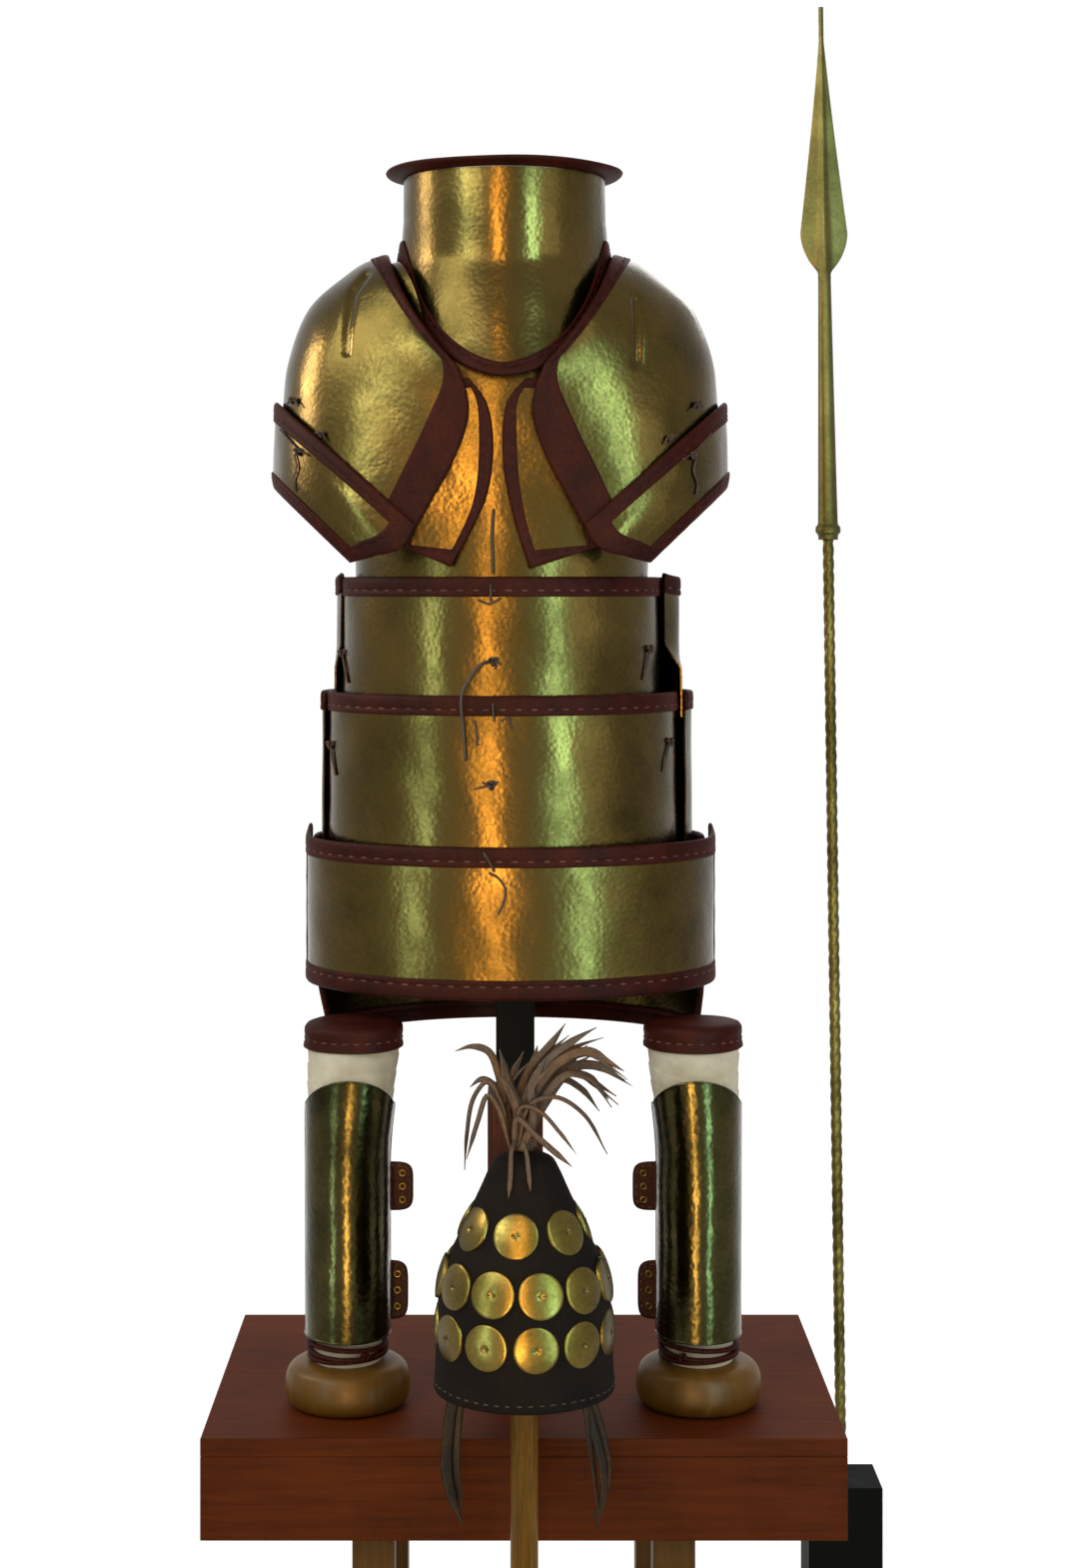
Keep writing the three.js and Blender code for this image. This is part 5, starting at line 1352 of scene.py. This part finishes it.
spear = {"x": 438.0, "y": 290.0, "lean": -27.0, "top": 2118.0, "bladeFoot": 1760.0, "bladeHalf": 31.0,
         "widest": 0.83, "rib": 5.0, "socketEnd": 1417.0, "shaft": 7.5, "blockTop": 185.0,
         "shaftFoot": 110.4, "strand": 18.0,
         # The socket's height and radius down to its ring, then the ring and foot from the socket's end up
         "socket": [[1758, 8.3], [1650, 9.8], [1550, 11.3], [1480, 12.3]],
         "foot": [[22, 13], [19, 14.2], [17, 16], [13, 16.6], [9, 16], [7.5, 14], [5, 13], [1, 13],
                  [0, 12.2], [0, 8.2]]}


def spearLine(z):
    share = (z - spear["blockTop"]) / (spear["top"] - spear["blockTop"])
    return stacked(spear["x"] + spear["lean"] * share, spear["y"], z)


def addSpear():
    p = spear
    # Blade: half width swells by the power 1.2 of the distance from the tip, then closes as a cosine to
    # the power 0.8; the midrib is a bell curve across it, and near the socket it turns into a circle
    s = np.concatenate([[0.0, 0.003, 0.008], np.linspace(0.02, 1, 120)])[:, None]
    t = (np.arange(64) / 64 * turnFull)[None]
    swell = np.where(s < p["widest"], (s / p["widest"]) ** 1.2,
                     np.cos(np.clip((s - p["widest"]) / (1 - p["widest"]), 0, 1) * np.pi / 2) ** 0.8)
    rib = 1.6 + (p["rib"] - 1.6) * np.minimum(1, s / 0.6) + np.maximum(0, s - 0.62) * 9.2
    half = np.maximum(p["bladeHalf"] * swell, 3.2)
    half = np.maximum(half, rib * np.clip((s - 0.5) / 0.4, 0, 1))
    x = half * np.cos(t)
    off = np.abs(np.sin(t))
    bulge = (rib - 1.3) * np.exp(-(x / (rib * 0.85)) ** 2)
    y = np.sign(np.sin(t)) * ((0.35 + 1.1 * off) * off + bulge * off ** 0.5)
    w = np.clip((s - 0.93) / 0.07, 0, 1) ** 2
    x, y = x + (rib * np.cos(t) - x) * w, y + (rib * np.sin(t) - y) * w
    z = p["top"] - s * (p["top"] - p["bladeFoot"])
    blade = spearLine(z) + stacked(x, y, 0)
    profile = p["socket"] + [[p["socketEnd"] + up, r] for up, r in p["foot"]]
    rings = np.array([spearLine(np.array([h])) + stacked(r * np.cos(t[0]), r * np.sin(t[0]), 0) for h,
                      r in profile])
    ringsClosed("spearHead", np.concatenate([blade, rings]), "spear", "spear_bronze", spearMetal,
                ["spear_head"], 38)
    # Shaft: two strands twisted together, the radius falling and rising twice round and turning once
    # in two strand pitches
    z = np.linspace(p["shaftFoot"], p["socketEnd"] + 3, 520)[:, None]
    t = (np.arange(32) / 32 * turnFull)[None]
    turn = z / (2 * p["strand"]) * turnFull
    radius = p["shaft"] * (0.8 + 0.19 * np.abs(np.cos(t - turn)) ** 0.8)
    shaft = spearLine(z) + stacked(radius * np.cos(t), radius * np.sin(t), 0)
    ringsClosed("spearShaft", shaft, "spear", "spear_bronze", shaftMetal, ["spear_shaft"])


# Boards: copies of the plain solids with their corners eased

def easedCopy(name, node, slot, material, ease):
    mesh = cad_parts[node].data.copy()
    mesh.name = name
    work = bmesh.new()
    work.from_mesh(mesh)
    bmesh.ops.remove_doubles(work, verts=work.verts, dist=1e-5)
    bmesh.ops.dissolve_limit(work, angle_limit=0.01, verts=work.verts, edges=work.edges)
    work.to_mesh(mesh)
    work.free()
    mesh.materials.clear()
    mesh.materials.append(material)
    piece = bpy.data.objects.new(name, mesh)
    bpy.context.scene.collection.objects.link(piece)
    bevel = piece.modifiers.new("eased", "BEVEL")
    bevel.width = ease * mm
    bevel.segments = 3
    bevel.limit_method = "ANGLE"
    bevel.angle_limit = np.radians(40)
    mesh.polygons.foreach_set("use_smooth", np.ones(len(mesh.polygons), dtype=bool))
    mesh.set_sharp_from_angle(angle=np.radians(35))
    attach(piece, "stand")
    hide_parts(node)


# Each board's node, slot, finish and how far its corners are eased
boards = {"lidBoard": ["plinth_top", "plinth_paint", redPaint, 0.9],
          "boxFrame": ["plinth_frame", "plinth_paint", redPaint, 0.9],
          "postSleeve": ["post_sleeve", "sleeve_wood", sleeveWood, 1.4],
          "standPost": ["post", "black_paint", blackPaint, 1.4],
          "shoulderBar": ["shoulder_bar", "pole_wood", paleWood, 1.4],
          "spearBlock": ["spear_block", "black_paint", blackPaint, 1.4]}


def addBoards():
    for name, (node, slot, material, ease) in boards.items():
        easedCopy(name, node, slot, material, ease)
    for end in ("front", "back"):
        for hand in ("left", "right"):
            easedCopy(f"{end}{hand.title()}Foot", f"plinth_leg_{end}_{hand}", "plinth_paint", legPaint, 1.6)


addTrunk()
addLacing()
addSpear()
addBoards()
print("trunk, lacing, spear and boards made")


# Room: a pale floor, soft lamps, and a white background seen only directly and in reflections

studio = {"sky": 0.4, "floor": "#E4E2DC", "floorGlow": 0.7, "middle": (-0.07, 0.0, 1.32),
          # Broad soft lamps: place, size and watts
          "broad": {"keyLamp": [(-1.9, -2.6, 3.0), (1.6, 1.6), 34.0],
                    "fillLamp": [(2.4, -2.2, 1.7), (1.4, 2.0), 12.0],
                    "backLamp": [(0.6, 2.6, 3.0), (2.2, 1.4), 22.0]},
          # Upright strips seen in reflections alone, which draw the long highlights: degrees round from
          # the front, metres away, width, height, brightness against white, and colour
          "strips": {"warmStrip": [-7, 1.5, 0.11, 2.6, 42.0, "#FFC572"],
                     "coolStrip": [31, 1.7, 0.2, 2.6, 30.0, "#A4E8EC"],
                     "paleStrip": [-42, 1.7, 0.14, 2.6, 17.0, "#C0F0EC"]},
          # Panes seen in reflections alone, three high on the left and one low in front: place, size,
          # brightness and colour
          "panes": {"collarPane": [(-2.05, 0.2, 2.1), (0.5, 0.8), 26.0, "#FFEFD2"],
                    "guardPane": [(-2.0, -0.9, 3.0), (1.3, 1.3), 6.0, "#F2FFF0"],
                    "chestPane": [(-1.5, -1.9, 2.5), (0.8, 0.8), 7.0, "#F0FFE8"],
                    "greavePane": [(-0.2, -1.6, 0.27), (0.3, 0.5), 18.0, "#FFD79A"]}}


def addLamp(name, place, target, size, watts, colour="#FFFFFF", lights=True):
    data = bpy.data.lights.new(name, "AREA")
    data.shape = "RECTANGLE"
    data.size, data.size_y = size
    data.energy = watts
    data.color = linear(colour)[:3]
    lamp = bpy.data.objects.new(name, data)
    bpy.context.scene.collection.objects.link(lamp)
    lamp.visible_camera = False
    lamp.visible_diffuse = lights
    # The lamp shines down its own -Z: z away from the target, x level, y up
    z = unit(np.array(place) - np.array(target))
    x = unit(np.cross([0, 0, 1], z))
    turned = np.array([x, np.cross(z, x), z]).T
    lamp.matrix_world = Matrix.Translation(place) @ Matrix(turned.tolist()).to_4x4()


def addRoom():
    for name, (place, size, watts) in studio["broad"].items():
        addLamp(name, place, (0, 0, 1.2), size, watts)
    middle = np.array(studio["middle"])
    for name, (degrees, away, wide, high, bright, colour) in studio["strips"].items():
        turn = np.radians(degrees)
        place = middle + away * np.array([np.sin(turn), -np.cos(turn), 0])
        # An area lamp's brightness is its watts over pi times its area
        addLamp(name, place, middle, (wide, high), bright * np.pi * wide * high, colour, lights=False)
    for name, (place, size, bright, colour) in studio["panes"].items():
        target = middle * [1, 1, 0] + [0, 0, min(place[2], middle[2])]
        addLamp(name, place, target, size, bright * np.pi * size[0] * size[1], colour, lights=False)
    world = bpy.data.worlds.new("room")
    world.use_nodes = True
    add = partial(addNode, world.node_tree)
    seen = add("Math", {"operation": "MAXIMUM"},
               {0: add("LightPath", output="Is Camera Ray"),
                1: add("LightPath", output="Is Transmission Ray")})
    seen = add("Math", {"operation": "MAXIMUM"}, {0: seen, 1: add("LightPath", output="Is Glossy Ray")})
    background = world.node_tree.nodes["Background"].inputs
    strength = add("MapRange", None, {"Value": seen, "To Min": studio["sky"], "To Max": 1.0})
    world.node_tree.links.new(strength, background["Strength"])
    background["Color"].default_value = (1, 1, 1, 1)
    bpy.context.scene.world = world
    half = 6.0
    mesh = bpy.data.meshes.new("floor")
    mesh.from_pydata([(-half, -half, 0), (half, -half, 0), (half, half, 0), (-half, half, 0)], [],
                     [(0, 1, 2, 3)])
    floor = bpy.data.objects.new("floor", mesh)
    floor.location.z = -0.0005
    bpy.context.scene.collection.objects.link(floor)
    # Pale matt studio floor: it reaches white where it is seen, and what shadow falls on it stays
    material, add = newMaterial("paleFloor")
    seen = add("Math", {"operation": "MAXIMUM"},
               {0: add("LightPath", output="Is Camera Ray"), 1: add("LightPath", output="Is Glossy Ray")})
    glow = add("Math", {"operation": "MULTIPLY"}, {0: seen, 1: studio["floorGlow"]})
    mesh.materials.append(setShader(material, Base_Color=linear(studio["floor"]), Roughness=0.8,
                                    Specular_IOR_Level=0.2, Emission_Color=(1, 1, 1, 1),
                                    Emission_Strength=glow))


addRoom()
bpy.context.scene.view_settings.view_transform = "Standard"
print("room made")
